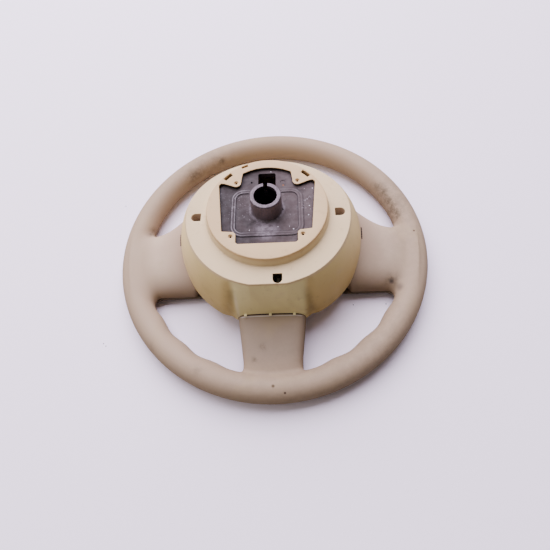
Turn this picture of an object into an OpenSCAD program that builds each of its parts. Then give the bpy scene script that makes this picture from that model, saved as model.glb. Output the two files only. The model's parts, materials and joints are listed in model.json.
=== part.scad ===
// Car steering wheel with three spokes, lying face down on its rim.
//
// The origin is the middle of the boss end face, the mouth of the shaft bore. +Z leaves the wheel
// toward the steering column, -Y points to the lower spoke, +X to the right as seen from the back.
// Heights that start with z_ are levels on that axis. All sizes are in millimetres.

/* [Rim] */
// Outer diameter of the rim
rim_d = 370; // [350:1:390]
// Thickness of the grip in the plane of the rim
grip_w = 30; // [27:0.5:33]
// Thickness of the grip along the axis
grip_h = 33; // [29:0.5:36]
// Depth of the rim's middle plane below the boss end face
rim_drop = 109.5; // [104:0.5:116]
// Diameter of the metal core ring inside the rim
core_d = 11; // [9:0.5:13]
// Height of the finger swells on the lower inner side of the rim
swell_h = 2; // [0:0.1:3]
// Number of finger swells on each lower side
swell_n = 3; // [2:1:4]

/* [Spokes] */
// Depth of the spokes' front face below the rim's middle plane
spoke_front = 5; // [3:0.5:7]
// Height of a side spoke above its front face, at the hub
side_rise = 44; // [38:0.5:48]
// Distance from the wheel's middle line to the lower edge of a side spoke
side_low = 58; // [52:0.5:62]
// Distance from the wheel's middle line to the upper edge of a side spoke, at the hub
side_high = 40; // [36:0.5:44]
// The same distance at the rim
side_high_rim = 21; // [17:0.5:26]
// Slope of a side spoke's back toward its lower edge, at the hub
side_tilt = 0.35; // [0.2:0.05:0.45]
// Height of the lower spoke above its front face, at the hub
low_rise = 31; // [26:0.5:34]
// Height of the lower spoke above its front face, at the rim
low_rise_rim = 14; // [11:0.5:16]
// Half width of the lower spoke at the hub
low_half = 38.8; // [35:0.2:42]
// Half width of the lower spoke at the rim
low_half_rim = 31; // [27:0.5:35]

/* [Boss] */
// Outer diameter of the splined boss
boss_d = 32.8; // [30:0.2:36]
// Height of the boss end face above the hub plate
boss_stand = 22.3; // [18:0.1:25]
// Diameter of the pilot bore at the mouth
pilot_d = 24; // [22:0.5:26]
// Depth of the pilot bore
pilot_depth = 12.5; // [9:0.5:15]
// Root diameter of the splines
spline_d = 18.6; // [17:0.2:20]
// Number of spline teeth
spline_n = 32; // [24:4:40]
// Length of the splines
spline_len = 21; // [16:1:24]
// Diameter of the hole for the centre bolt
bolt_hole_d = 13.2; // [11:0.2:15]
// Thickness of the seat under the centre bolt
bolt_seat_t = 8; // [6:0.5:10]
// Depth of the recess for the head of the centre bolt
bolt_sink = 6; // [4:0.5:8]
// Width of the keying slot in the boss
slot_w = 4.3; // [3:0.1:6]
// Depth of the keying slot from the end face
slot_depth = 12; // [8:0.5:12]
// Radius of the cast fillet round the foot of the boss
root_fillet = 1.4; // [1:0.1:2]

/* [Armature] */
// Clearance between the edge of the hub plate and the wall of the cover's disc
plate_clear = 2.3; // [2:0.1:3]
// Thickness of the hub plate
plate_t = 6; // [4:0.5:8]
// Wall of the collar that holds the boss
collar_wall = 7; // [5:0.5:9]
// Thickness of the arms' web
web_t = 5; // [4:0.5:6]
// Height of the bead on the hub plate
bead_h = 0.7; // [0.4:0.1:0.8]
// Width of the bead
bead_w = 5.4; // [4.5:0.1:6]
// Width of the cable hole
cable_w = 19.2; // [16:0.1:21]
// Length of the cable hole
cable_len = 23.5; // [20:0.5:25]
// Depth of the latch lands below the boss end face
land_drop = 53.5; // [50:0.5:56]
// Width of the latch lands
land_w = 42; // [41:0.5:44]
// Width of the arms past the lands
arm_w = 28; // [24:1:32]

/* [Rear cover] */
// Thickness of the cover's disc and flange
cover_t = 2.6; // [2:0.1:3]
// Thickness of the cover's skirt
skirt_t = 2.5; // [2:0.1:3]
// Diameter of the raised disc
disc_d = 128.8; // [127:0.2:131]
// Height of the raised disc above the flange
disc_step = 10.8; // [9:0.2:12]
// Width of the flange round the disc
flange_w = 24.1; // [23:0.1:26]
// Width of the flange at 12 o'clock
flange_top_w = 8; // [6:0.1:9]
// Reach of the skirt past the flange, at the sides
skirt_out = 16.5; // [15:0.5:18]
// Reach of the skirt past the flange, toward the lower spoke
skirt_out_low = 13.5; // [12:0.5:15]
// Reach of the skirt past the flange, at 12 o'clock
skirt_out_top = 21.6; // [20:0.1:23]
// Height of the skirt's widest line above the rim's middle plane
skirt_lift = 12; // [8:0.5:14]
// Depth to which the panel over the lower spoke flattens the flange
flat_cut = 2.1; // [1.5:0.1:3]
// Reach of that panel's straight seam past its upper edge
flat_flare = 7.6; // [6.5:0.1:8.5]
// Diameter of the four screw holes
screw_hole_d = 4.2; // [3.6:0.1:4.8]
// Distance of the two upper screw holes from the disc's edge
upper_screw_in = 17.1; // [16:0.1:18]
// Distance of the two lower screw holes from the disc's edge
lower_screw_in = 12.84; // [12:0.1:14]
// Width of the release holes
release_w = 9.5; // [8:0.1:11]

/* [Front bezel] */
// Thickness of the bezel's face
bezel_t = 2.5; // [2:0.1:3]
// Height of the bezel's lip, which goes up inside the cover's front edge
bezel_lap = 4; // [2:0.5:6]
// Thickness of that lip
bezel_wall = 2.2; // [1.8:0.1:2.6]
// Gap between the bezel and the pad
pad_gap = 1; // [0.8:0.1:1.5]

/* [Pad module] */
// Distance from the wall of the cover's disc out to the pad's edge
pad_over = 19.6; // [18:0.1:20]
// Thickness of the pad's wall
pad_t = 3; // [2.4:0.1:3.5]
// Crown of the pad's face
pad_crown = 3; // [1:0.5:4]
// Height of the pad's face above the surface that the rim lies on
pad_lift = 4.5; // [3:0.5:6]
// Depth of the module, from the pad's face to the back of its plate
module_h = 34; // [31:0.5:36]
// Distance from the hook pins out to the pad's back wall
pad_wall_out = 6; // [5.5:0.1:6.5]
// Thickness of the module plate
module_t = 2; // [1.5:0.1:2.5]
// Diameter of the inflator's can
inflator_d = 59; // [54:0.5:62]
// Height of the inflator above the module plate
inflator_rise = 18; // [14:0.5:20]
// Depth of the inflator in the bag
inflator_dip = 19; // [15:0.5:20]
// Diameter of the stud circle
stud_ring_d = 74; // [72:0.5:76]
// Diameter of the studs
stud_d = 5; // [4:0.5:6]

/* [Latches] */
// Distance from the wall of the cover's disc to the hook pins
pin_out = 3.6; // [3.4:0.1:4]
// Diameter of the hook pins
pin_d = 8; // [7:0.2:8.4]
// Travel of the pad when the horn is pressed
horn_travel = 2.5; // [1.5:0.1:3]
// Diameter of the latch spring wire
wire_d = 2; // [1.6:0.1:2.4]
// Diameter of the horn spring wire
coil_wire_d = 1.4; // [1.2:0.1:1.8]
// Turns of the horn springs
coil_turns = 5; // [4:1:6]

/* [Hidden] */
$fn = 72;

// Clearances: between pieces that seat on each other, and round a pin that slides
seat = 0.3;
slide = 0.3;
// Overlap of shapes that are joined, and overrun of a cutter
lap = 0.5;
over = 1;

// Levels along the axis, from the boss end face down to the pad
z_plate = -boss_stand;
plate_gap = bead_h + seat;
z_disc = z_plate + plate_gap + cover_t;
z_flange = z_disc - disc_step;
z_land = -land_drop;
z_rim = -rim_drop;
z_front = z_rim - spoke_front;
z_skirt = z_rim + skirt_lift;
z_floor = z_rim - grip_h / 2;
z_pad = z_floor + pad_lift;
z_module = z_pad + module_h;
z_seam = z_front + low_rise;

// Outlines in plan, from the disc outward
disc_r = disc_d / 2;
plate_r = disc_r - cover_t - plate_clear;
flange_half = disc_r + flange_w;
flange_top = disc_r + flange_top_w;
skirt_half = flange_half + skirt_out;
skirt_low = flange_half + skirt_out_low;
skirt_top = flange_top + skirt_out_top;
flat_dist = flange_half - flat_cut;
pin_reach = disc_r + pin_out;
land_reach = pin_reach + 16;
pad_r = disc_r + pad_over;
bezel_r = pad_r + pad_gap;
tuck_wall = 1.4 * skirt_t;
tuck_r = bezel_r + bezel_wall + seat + tuck_wall;

// Rim and spokes
rim_r = rim_d / 2 - grip_w / 2;
rim_rings = 72;
rim_sides = 16;
swell_from = 27;
swell_to = 73;
spoke_hub_r = skirt_half - 5;
spoke_inner_r = tuck_r - 4;
side_flare = 15;
side_top_flare = 8;
low_flare = 5;
flare_reach = 26;
dome_steps = 18;
spoke_steps = 9;
seam_gap = 0.5;

// Boss and hub plate
boss_len = pilot_depth + spline_len + bolt_seat_t + bolt_sink;
bead_x = 38.5;
bead_low = -35;
bead_high = 26;
bead_r = 13;
cable_top = 47.6;
screw_core_d = 3.2;

// Latches: the arm each belongs to is found by place_arm(), and this is their place along it
latch_side = [-2.5, -2.5, 10];
latch_out = [0, 0, 2.8];
cover_boss_side = [16, 16, -11];
cover_boss_reach = pin_reach + 6;
cover_boss_d = 8.4;
cover_screw_d = 4;
cover_screw_bite = 12;
cover_head_t = 3;
chute_wall = 1.4;
chute_len = 9.4;
bush_wall = 1.7;
bush_lip_t = 1.2;
bush_bore = pin_d / 2 + slide;
bush_r = bush_bore + bush_wall;
bush_lip_r = bush_r + 2;
z_wire = z_land + bush_lip_t + seat + wire_d / 2;
wire_reach = pin_reach + pin_d / 2 - 1;
wire_loop = 4.5;
wire_half = 9.5;
lug_reach = wire_reach + wire_loop;
lug_r = wire_loop - wire_d / 2 - seat;
foot_r = 9;
foot_t = 2;
coil_r = bush_r + coil_wire_d / 2 + 0.9;

function lerp(a, b, t) = a + (b - a) * t;
function clamp(t) = min(1, max(0, t));
function ease(t) = let (c = clamp(t)) c * c * (3 - 2 * c);
function spow(v, p) = sign(v) * pow(abs(v), p);
function arc(x, y, r, from, to, n) =
    [for (i = [0:n]) let (a = lerp(from, to, i / n)) [x + r * cos(a), y + r * sin(a)]];
function mirrored(pts) = concat(pts, [for (i = [len(pts) - 1:-1:0]) [-pts[i][0], pts[i][1]]]);

// Triangles that join loop k to loop l, for loops of n points
function skin(k, l, j, n) = let (i = (j + 1) % n)
    [[k * n + j, l * n + i, k * n + i], [k * n + j, l * n + j, l * n + i]];

function mean(pts) = [for (c = [0:2]) [for (p = pts) p[c]] * [for (p = pts) 1] / len(pts)];

// Closed body through loops that turn to the left as seen from its far end, with fans over the ends
module loft(loops) {
    n = len(loops[0]);
    m = len(loops);
    pts = concat([for (l = loops, p = l) p], [mean(loops[0]), mean(loops[m - 1])]);
    polyhedron(pts, concat(
        [for (k = [0:m - 2], j = [0:n - 1], f = skin(k, k + 1, j, n)) f],
        [for (j = [0:n - 1]) [j, (j + 1) % n, m * n]],
        [for (j = [0:n - 1]) [(m - 1) * n + (j + 1) % n, (m - 1) * n + j, m * n + 1]]), 10);
}

// Puts a shape drawn along +X onto the right, left or lower arm
module place_arm(i) {
    if (i == 0) children();
    if (i == 1) mirror([1, 0, 0]) children();
    if (i == 2) rotate(-90) children();
}

module at_latch(i) {
    place_arm(i) translate([latch_out[i], latch_side[i], 0]) children();
}

// Rim grip: an oval section carried round, with finger swells on its lower inner side
function swell(a) = let (d = abs(a + 90), t = (90 - swell_from - d) / (swell_to - swell_from))
    t < 0 || t > 1 ? 0 : swell_h * pow(sin(180 * swell_n * t), 2);
function rim_point(a, b) = let (r = rim_r + grip_w / 2 * cos(b) - swell(a) * pow(max(0, -cos(b)), 2))
    [r * cos(a), r * sin(a), z_rim + grip_h / 2 * sin(b)];

module rim_grip() {
    n = rim_sides;
    m = rim_rings;
    pts = [for (k = [0:m - 1], j = [0:n - 1]) rim_point(-270 + 360 * k / m, -360 * j / n)];
    polyhedron(pts, [for (k = [0:m - 1], j = [0:n - 1], f = skin(k, (k + 1) % m, j, n)) f], 10);
}

// Front face of a spoke's section, from its lower to its upper edge on the arc of radius r. A
// cutter, widened by g, goes below that face
function base(r, lo, hi, g) = [for (k = g > 0 ? [0:6] : [1:5]) let (y = lerp(lo, hi, k / 6))
    [sqrt(r * r - y * y), y, z_front - (g > 0 ? 2 * seat : 0)]];

// Side spoke: domed sections on arcs round the axis. r is the radius, g widens it for a cutter
function hub_share(r) = pow(clamp(1 - (r - spoke_hub_r) / (rim_r - spoke_hub_r)), 1.6);
function flare(r) = ease((r - rim_r + flare_reach) / flare_reach);
function side_lower(r) = -side_low - side_flare * flare(r);
function side_upper(r) = side_high_rim + side_top_flare * flare(r) + (side_high - side_high_rim)
    * pow(clamp(1 - (r - spoke_hub_r) / 0.64 / (rim_r - spoke_hub_r)), 2);
function side_height(r) = lerp(spoke_front + grip_h / 2 - seat, side_rise, hub_share(r));
function side_loop(r, g) = let (lo = side_lower(r) - g, hi = side_upper(r) + g, mid = (lo + hi) / 2)
    concat([for (k = [0:dome_steps]) let (t = 180 * k / dome_steps,
        y = mid + (hi - lo) / 2 * spow(cos(t), 0.8),
        h = (side_height(r) + side_tilt * hub_share(r) * (y - mid)) * pow(max(0, sin(t)), 0.8))
        [sqrt(r * r - y * y), y, z_front + h + g * sin(t)]], base(r, lo, hi, g));

// Lower spoke, drawn along +X: flatter sections, squarer toward the hub, on arcs round the axis
function low_share(r) = clamp((r - spoke_inner_r) / (rim_r - grip_w / 2 - spoke_inner_r));
function low_bend(r) = lerp(0.38, 0.57, low_share(r));
function low_width(r) = lerp(low_half, low_half_rim, low_share(r)) + low_flare * flare(r);
function low_loop(r, g) = let (w = low_width(r) + g)
    concat([for (k = [0:dome_steps]) let (t = 180 * k / dome_steps, y = w * spow(cos(t), low_bend(r)),
        h = lerp(low_rise, low_rise_rim, low_share(r)) * pow(max(0, sin(t)), low_bend(r)))
        [sqrt(r * r - y * y), y, z_front + h + g * sin(t)]], base(r, -w, w, g));

function side_ring(k) = lerp(spoke_inner_r, rim_r, k / spoke_steps);
function low_ring(k) = lerp(spoke_inner_r, rim_r - 3, k / spoke_steps);

module side_spoke() {
    loft([for (k = [0:spoke_steps]) side_loop(side_ring(k), 0)]);
}

module low_spoke() {
    loft([for (k = [0:spoke_steps]) low_loop(low_ring(k), 0)]);
}

// Room for the spokes where they pass through the cover and the bezel's lip
room_rings = 4;
module spoke_rooms() {
    for (i = [0, 1]) place_arm(i) loft(concat([side_loop(spoke_inner_r - 12, seam_gap)],
        [for (k = [0:room_rings]) side_loop(side_ring(k), seam_gap)]));
    place_arm(2) loft(concat([low_loop(spoke_inner_r - 12, seam_gap)],
        [for (k = [0:room_rings]) low_loop(low_ring(k), seam_gap)]));
}

// Web of an arm in side view, [distance from the axis, level]
plate_mid = z_plate - plate_t / 2;
land_mid = z_land - web_t / 2;
step_reach = disc_r - cover_t - web_t / 2 - 2.4;
side_web = [[plate_r - 16, plate_mid], [step_reach, plate_mid], [step_reach, land_mid],
    [land_reach - 2, land_mid], [land_reach + 20, z_rim + 26],
    [rim_r - grip_w / 2 - 5, z_rim + 7], [rim_r, z_rim]];
low_web_reach = flat_dist - 2.9;
low_web = [[plate_r - 16, plate_mid], [step_reach, plate_mid], [step_reach, land_mid],
    [low_web_reach, land_mid], [low_web_reach, z_rim + 9.5], [rim_r, z_rim]];

// Outline of a band of thickness t along a path, with mitred corners
function unit(v) = v / norm(v);
function side_of(p, k) = let (n = len(p) - 1, a = unit(p[max(k, 1)] - p[max(k, 1) - 1]),
    b = unit(p[min(k + 1, n)] - p[min(k, n - 1)]), m = [-a[1] - b[1], a[0] + b[0]])
    m / (1 + a * b);
function band(p, up, down) = concat([for (k = [0:len(p) - 1]) p[k] + up * side_of(p, k)],
    [for (k = [len(p) - 1:-1:0]) p[k] - down * side_of(p, k)]);

// Plan of an arm, wide at the land and narrower toward the rim
land_side = 3;
neck_half = 15;
neck_reach = disc_r - 3.4;
taper_reach = land_reach + 14;
function arm_plan(inset) = let (low = land_side - land_w / 2 + inset,
    high = land_side + land_w / 2 - inset,
    neck = neck_half - inset, half = arm_w / 2 - inset)
    [[plate_r - 20, -neck], [neck_reach, -neck], [neck_reach + 3, low], [land_reach, low],
    [taper_reach, -half], [rim_r + lap, -half], [rim_r + lap, half], [taper_reach, half],
    [land_reach, high], [neck_reach + 3, high], [neck_reach, neck], [plate_r - 20, neck]];

module upright(pts) {
    rotate([90, 0, 0]) linear_extrude(2 * land_w, center = true) polygon(pts);
}

arm_rib = [6, 6, 3];
module arm(i) {
    path = i == 2 ? low_web : side_web;
    rib = arm_rib[i];
    last = len(path) - 1;
    outer = [for (k = [3:last]) path[k]];
    place_arm(i) {
        intersection() {
            upright(band(path, web_t / 2, web_t / 2));
            translate([0, 0, z_rim - rim_d]) linear_extrude(rim_d + rim_drop) polygon(arm_plan(0));
        }
        intersection() {
            upright(band(outer, 0, web_t / 2 + rib));
            translate([0, 0, z_rim - rim_d]) linear_extrude(rim_d + rim_drop) difference() {
                polygon(arm_plan(0));
                translate([-2, 0]) polygon(arm_plan(4));
            }
        }
    }
}

module rim_core() {
    rotate_extrude($fn = 120) translate([rim_r, z_rim]) circle(d = core_d, $fn = 32);
}

module frame_arms() {
    rim_core();
    for (i = [0:2]) arm(i);
}

module rounded_box(x0, x1, y0, y1, r) {
    polygon(concat(arc(x1 - r, y1 - r, r, 0, 90, 6), arc(x0 + r, y1 - r, r, 90, 180, 6),
        arc(x0 + r, y0 + r, r, 180, 270, 6), arc(x1 - r, y0 + r, r, 270, 360, 6)));
}

// Screw holes for the contact unit that sits on the cover's disc
upper_tab = (disc_r - upper_screw_in) * [cos(45.1), sin(45.1)];
lower_tab = (disc_r - lower_screw_in) * [cos(44), -sin(44)];
module screw_places() {
    for (s = [-1, 1], p = [upper_tab, lower_tab]) translate([s * p[0], p[1], 0]) children();
}

module armature() {
    boss_r = boss_d / 2;
    collar_r = boss_r + root_fillet + collar_wall;
    z_collar = -boss_len;
    color([0.48, 0.45, 0.48]) difference() {
        union() {
            translate([0, 0, z_plate - plate_t]) cylinder(r = plate_r, h = plate_t);
            translate([0, 0, z_collar]) cylinder(r = collar_r, h = z_plate - z_collar - lap);
            translate([0, 0, z_plate - lap]) linear_extrude(lap + bead_h) difference() {
                rounded_box(-bead_x, bead_x, bead_low, bead_high, bead_r);
                rounded_box(-bead_x + bead_w, bead_x - bead_w, bead_low + bead_w,
                    bead_high - bead_w, bead_r - bead_w);
            }
            rotate_extrude() polygon(concat(
                [[boss_r - lap, z_plate - lap], [boss_r + root_fillet, z_plate - lap]],
                arc(boss_r + root_fillet, z_plate + root_fillet, root_fillet, 270, 180, 5),
                [[boss_r - lap, z_plate + root_fillet]]));
            for (a = [-60, -120, 60, 120, 30, 150]) rotate(a)
                translate([collar_r - lap, -2, 0]) rotate([90, 0, 0]) translate([0, 0, -4])
                linear_extrude(4) polygon([[0, z_plate - plate_t + lap],
                    [plate_r - collar_r - 4, z_plate - plate_t + lap],
                    [plate_r - collar_r - 8, z_plate - plate_t - 4], [0, z_collar + 4]]);
            frame_arms();
            for (i = [0:2]) at_latch(i) for (s = [-1, 1])
                translate([lug_reach, s * wire_half, z_land - lap])
                cylinder(r = lug_r, h = z_wire - z_land + wire_d / 2 + lap);
        }
        translate([0, 0, z_collar - over]) cylinder(r = boss_r, h = boss_len);
        translate([-cable_w / 2, cable_top - cable_len, z_plate - plate_t - over])
            linear_extrude(plate_t + 2 * over) rounded_box(0, cable_w, 0, cable_len, 2);
        translate([0, 0, z_collar - over]) linear_extrude(z_plate - plate_t - z_collar + over)
            translate([-cable_w / 2, boss_r + 2.9])
            square([cable_w, cable_top - boss_r - 2.9]);
        translate([17.3, 34.6, z_plate - 0.3]) cylinder(r = 2.7, h = over);
        translate([-16.7, 35.6, z_plate - plate_t - over]) cylinder(r = 1, h = plate_t + 2 * over);
        screw_places() translate([0, 0, z_plate - plate_t - over])
            cylinder(d = screw_core_d, h = plate_t + 2 * over);
        for (i = [0:2]) {
            at_latch(i) translate([pin_reach, 0, z_land - web_t - over])
                cylinder(r = bush_r, h = web_t + 2 * over);
            place_arm(i) translate([cover_boss_reach, cover_boss_side[i], z_land - web_t - over])
                cylinder(d = cover_screw_d + 2 * seat, h = web_t + 2 * over);
        }
    }
}

function spline_profile() = [for (k = [0:spline_n - 1], c = [[0, 0], [0.25, 0], [0.4, 1], [0.85, 1]])
    let (a = 360 * (k + c[0]) / spline_n, r = spline_d / 2 - 0.9 * c[1]) [r * cos(a), r * sin(a)]];

module splined_boss() {
    color([0.42, 0.40, 0.42]) difference() {
        rotate_extrude() polygon([[0, 0], [boss_d / 2 - 0.8, 0], [boss_d / 2, -0.8],
            [boss_d / 2, -boss_len], [0, -boss_len]]);
        translate([0, 0, -pilot_depth]) cylinder(d = pilot_d, h = pilot_depth + over);
        translate([0, 0, -pilot_depth - spline_len]) linear_extrude(spline_len + lap)
            polygon(spline_profile());
        translate([0, 0, -boss_len - over]) cylinder(d = bolt_hole_d, h = boss_len);
        translate([0, 0, -boss_len - over]) cylinder(d = boss_d - 6, h = bolt_sink + over);
        translate([-slot_w / 2, 0, -slot_depth]) cube([slot_w, boss_d, slot_depth + over]);
    }
}

module rim_skin() {
    color([0.74, 0.67, 0.62]) difference() {
        union() {
            rim_grip();
            for (i = [0, 1]) place_arm(i) side_spoke();
            place_arm(2) low_spoke();
        }
        frame_arms();
    }
}

// Rear cover: outlines of the flange and skirt, half circle below and half oval above. Past its
// widest line the skirt tucks in to a round front edge. Over the lower spoke it keeps to a panel that
// runs from the flange's edge to a straight seam
bowl_levels = [0, 0.06, 0.16, 0.3, 0.48, 0.72, 1];
tuck_levels = [0.12, 0.4, 1];
function bowl(s) = 1 - pow(1 - s, 2.4);
function tuck(u) = pow(u, 1.25);
cover_turn = 4;
panel_turn = 24;
function panel(x, z) = lerp(min(sqrt(pow(flange_half, 2) - x * x), flat_dist),
    flat_dist + flat_flare, (z_flange - z) / (z_flange - z_seam));
function oval(x, low, top, wall, z) = [for (t = [0:cover_turn:360 - cover_turn])
    let (px = (x - wall) * cos(t), py = ((sin(t) > 0 ? top : low) - wall) * sin(t))
    [px, abs(t - 270) > panel_turn ? py : max(py, wall - panel(px, z)), z]];
function bowl_loop(s, wall, z) = oval(lerp(flange_half, skirt_half, bowl(s)),
    lerp(flange_half, skirt_low, bowl(s)), lerp(flange_top, skirt_top, bowl(s)), wall, z);
function tuck_loop(u, wall, z) = oval(lerp(skirt_half, tuck_r, tuck(u)),
    lerp(skirt_low, tuck_r, tuck(u)), lerp(skirt_top, tuck_r, tuck(u)), wall, z);

module cover_bowl(wall, tucked, top, low) {
    loft(concat(
        [for (k = [len(tuck_levels) - 1:-1:0]) let (u = tuck_levels[k])
            tuck_loop(u, lerp(wall, tucked, u), u == 1 ? low : lerp(z_skirt, z_front, u))],
        [for (k = [len(bowl_levels) - 1:-1:0]) let (s = bowl_levels[k])
            bowl_loop(s, wall, s == 0 ? top : lerp(z_flange, z_skirt, s))]));
}

// Cut-out of the disc over the hub plate, right half from the top to the bottom, round the tabs
cut_arc_r = plate_r - 6.2;
cut_arc_x = 26.5;
tab_r = 5.4;
lip_t = 0.9;
lip_w = 1.4;
function cut_half() = let (u = upper_tab, l = lower_tab) concat(
    arc(0, 0, cut_arc_r, 90, acos(cut_arc_x / cut_arc_r), 6), [[cut_arc_x + 1.3, u[1] + 3]],
    arc(u[0], u[1], tab_r, 195, 290, 5),
    [[u[0] + 13.1, u[1] - 0.4], [u[0] + 16.3, u[1]], [u[0] + 18.9, u[1] - 2.5],
    [l[0] + 9.7, l[1] + 6.3], [l[0] - 3, l[1] + 5.1]],
    arc(l[0] - 3.5, l[1] + 3.4, 1.6, 90, 180, 3), arc(l[0] - 7.6, l[1] - 7.1, 2.5, 0, -90, 4));

module release_hole() {
    r = release_w / 2;
    translate([wire_reach + 1.4, -r]) square([5.2, release_w]);
    translate([wire_reach + 6.6, 0]) circle(r);
}

// Slot along the disc's edge, given by its distances from that edge
module arc_slot(far, near, from, to) {
    polygon(concat(arc(0, 0, disc_r - far, from, to, 4), arc(0, 0, disc_r - near, to, from, 4)));
}

module rear_cover() {
    wall_r = disc_r + 1.8;
    color([0.85, 0.78, 0.66]) difference() {
        union() {
            difference() {
                cover_bowl(0, 0, z_flange, z_front);
                cover_bowl(skirt_t, tuck_wall, z_flange - cover_t, z_front - over);
            }
            rotate_extrude($fn = 96) polygon([[0, z_flange - cover_t], [wall_r, z_flange - cover_t],
                [wall_r, z_flange], [disc_r, z_disc - 1.2], [disc_r - 1.2, z_disc],
                [0, z_disc]]);
            for (i = [0:2]) place_arm(i) translate([cover_boss_reach, cover_boss_side[i],
                z_land + seat]) cylinder(d = cover_boss_d, h = z_flange - z_land - cover_t);
            for (a = [25, 155, 215, 325]) rotate(a) translate([disc_r - 1, -1.2,
                z_flange - cover_t - 14]) cube([13, 2.4, 14 + lap]);
            for (i = [0, 1]) at_latch(i) translate([0, 0, z_flange - cover_t - chute_len])
                linear_extrude(chute_len + lap) offset(chute_wall) release_hole();
        }
        rotate_extrude($fn = 96) polygon([[0, z_flange - cover_t - over],
            [wall_r - cover_t, z_flange - cover_t - over], [wall_r - cover_t, z_flange - cover_t],
            [disc_r - cover_t, z_disc - cover_t], [0, z_disc - cover_t]]);
        translate([0, 0, z_disc - cover_t - over]) linear_extrude(cover_t + 2 * over) {
            polygon(mirrored(cut_half()));
            arc_slot(6.4, 2.2, 40, 50);
            arc_slot(6.4, 2.2, 130, 140);
            arc_slot(4.4, 1.6, 110, 117);
        }
        translate([0, 0, z_disc - cover_t - over]) linear_extrude(cover_t - lip_t + over)
            offset(delta = lip_w) polygon(mirrored(cut_half()));
        screw_places() translate([0, 0, z_disc - cover_t - over])
            cylinder(d = screw_hole_d, h = cover_t + 2 * over);
        for (i = [0:2]) {
            at_latch(i) translate([0, 0, z_flange - cover_t - chute_len - over])
                linear_extrude(cover_t + chute_len + 2 * over) release_hole();
            place_arm(i) translate([cover_boss_reach, cover_boss_side[i], z_land - over])
                cylinder(d = cover_screw_d, h = cover_screw_bite + 2 * over);
        }
        spoke_rooms();
    }
}

module cover_screws() {
    z_head = z_land - web_t;
    color("dimgray") for (i = [0:2])
        place_arm(i) translate([cover_boss_reach, cover_boss_side[i], 0]) difference() {
            union() {
                translate([0, 0, z_head - cover_head_t])
                    cylinder(d = 2 * cover_screw_d, h = cover_head_t);
                translate([0, 0, z_head - lap])
                    cylinder(d = cover_screw_d, h = web_t + cover_screw_bite);
            }
            translate([0, 0, z_head - cover_head_t - over])
                cylinder(d = 1.15 * cover_screw_d, h = over + 0.6 * cover_head_t, $fn = 6);
        }
}

// Front bezel: a ring round the pad, a lip inside the cover's edge, and a face under each spoke
bezel_reach = rim_r - grip_w / 2 - 2.5;
module bezel_side() {
    n = 8;
    rs = [for (k = [0:n]) lerp(spoke_inner_r, bezel_reach, k / n)];
    polygon(concat([for (r = rs) [sqrt(r * r - pow(side_lower(r), 2)), side_lower(r)]],
        [for (k = [n:-1:0]) let (r = rs[k], y = side_upper(r)) [sqrt(r * r - y * y), y]]));
}

module bezel_low() {
    n = 4;
    rs = [for (k = [0:n]) lerp(spoke_inner_r, bezel_reach, k / n)];
    polygon(concat([for (r = rs) [sqrt(r * r - pow(low_width(r), 2)), -low_width(r)]],
        [for (k = [n:-1:0]) let (r = rs[k], y = low_width(r)) [sqrt(r * r - y * y), y]]));
}

module front_bezel() {
    z_face = z_front - seat - bezel_t;
    color([0.16, 0.15, 0.15]) difference() {
        union() {
            translate([0, 0, z_face]) linear_extrude(bezel_t) {
                circle(r = tuck_r, $fn = 96);
                for (i = [0, 1]) place_arm(i) bezel_side();
                place_arm(2) bezel_low();
            }
            difference() {
                translate([0, 0, z_face + lap])
                    cylinder(r = bezel_r + bezel_wall, h = bezel_t + bezel_lap - lap, $fn = 96);
                spoke_rooms();
            }
        }
        translate([0, 0, z_face - over])
            cylinder(r = bezel_r, h = bezel_t + bezel_lap + 2 * over, $fn = 96);
    }
}

// Pad module
pad_wall_r = pin_reach + pad_wall_out;
hook_n = 8;
hook_len = 9;
hook_rim_h = 9;
pad_rim_h = 7.2;
z_plate_low = z_module - module_t;
function dome(r, z) = z + pad_crown * pow(r / pad_r, 2);

module pad_cover() {
    outer = [for (k = [0:8]) let (r = (pad_r - 3) * k / 8) [r, dome(r, z_pad)]];
    color([0.80, 0.74, 0.66]) {
        rotate_extrude($fn = 96) polygon(concat(outer,
            arc(pad_r - 3, dome(pad_r, z_pad) + 3, 3, -80, 0, 4),
            [[pad_r, z_pad + pad_rim_h], [pad_r - 2.5, z_pad + pad_rim_h],
            [pad_r - 2.5, z_pad + pad_crown + 4],
            [pad_wall_r, z_pad + pad_crown + 4], [pad_wall_r, z_plate_low - seat],
            [pad_wall_r - pad_t, z_plate_low - seat], [pad_wall_r - pad_t, z_pad + pad_crown + 4]],
            [for (k = [6:-1:0]) let (r = (pad_wall_r - pad_t - 1) * k / 6)
                [r, dome(r, z_pad) + pad_t]]));
        for (k = [0:hook_n - 1]) rotate(360 * (k + 0.5) / hook_n)
            translate([pad_wall_r - lap, -hook_len / 2, z_plate_low - 7])
            rotate([90, 0, 90]) linear_extrude(lap + 1.6) square([hook_len, 3]);
    }
}

module plate_outline() {
    circle(r = pad_wall_r + 2.2, $fn = 96);
    for (i = [0:2]) at_latch(i) translate([pin_reach, 0]) circle(r = foot_r + 0.5);
}

module stud_places() {
    for (k = [0:3]) rotate(45 + 90 * k) translate([stud_ring_d / 2, 0, 0]) children();
}

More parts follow.
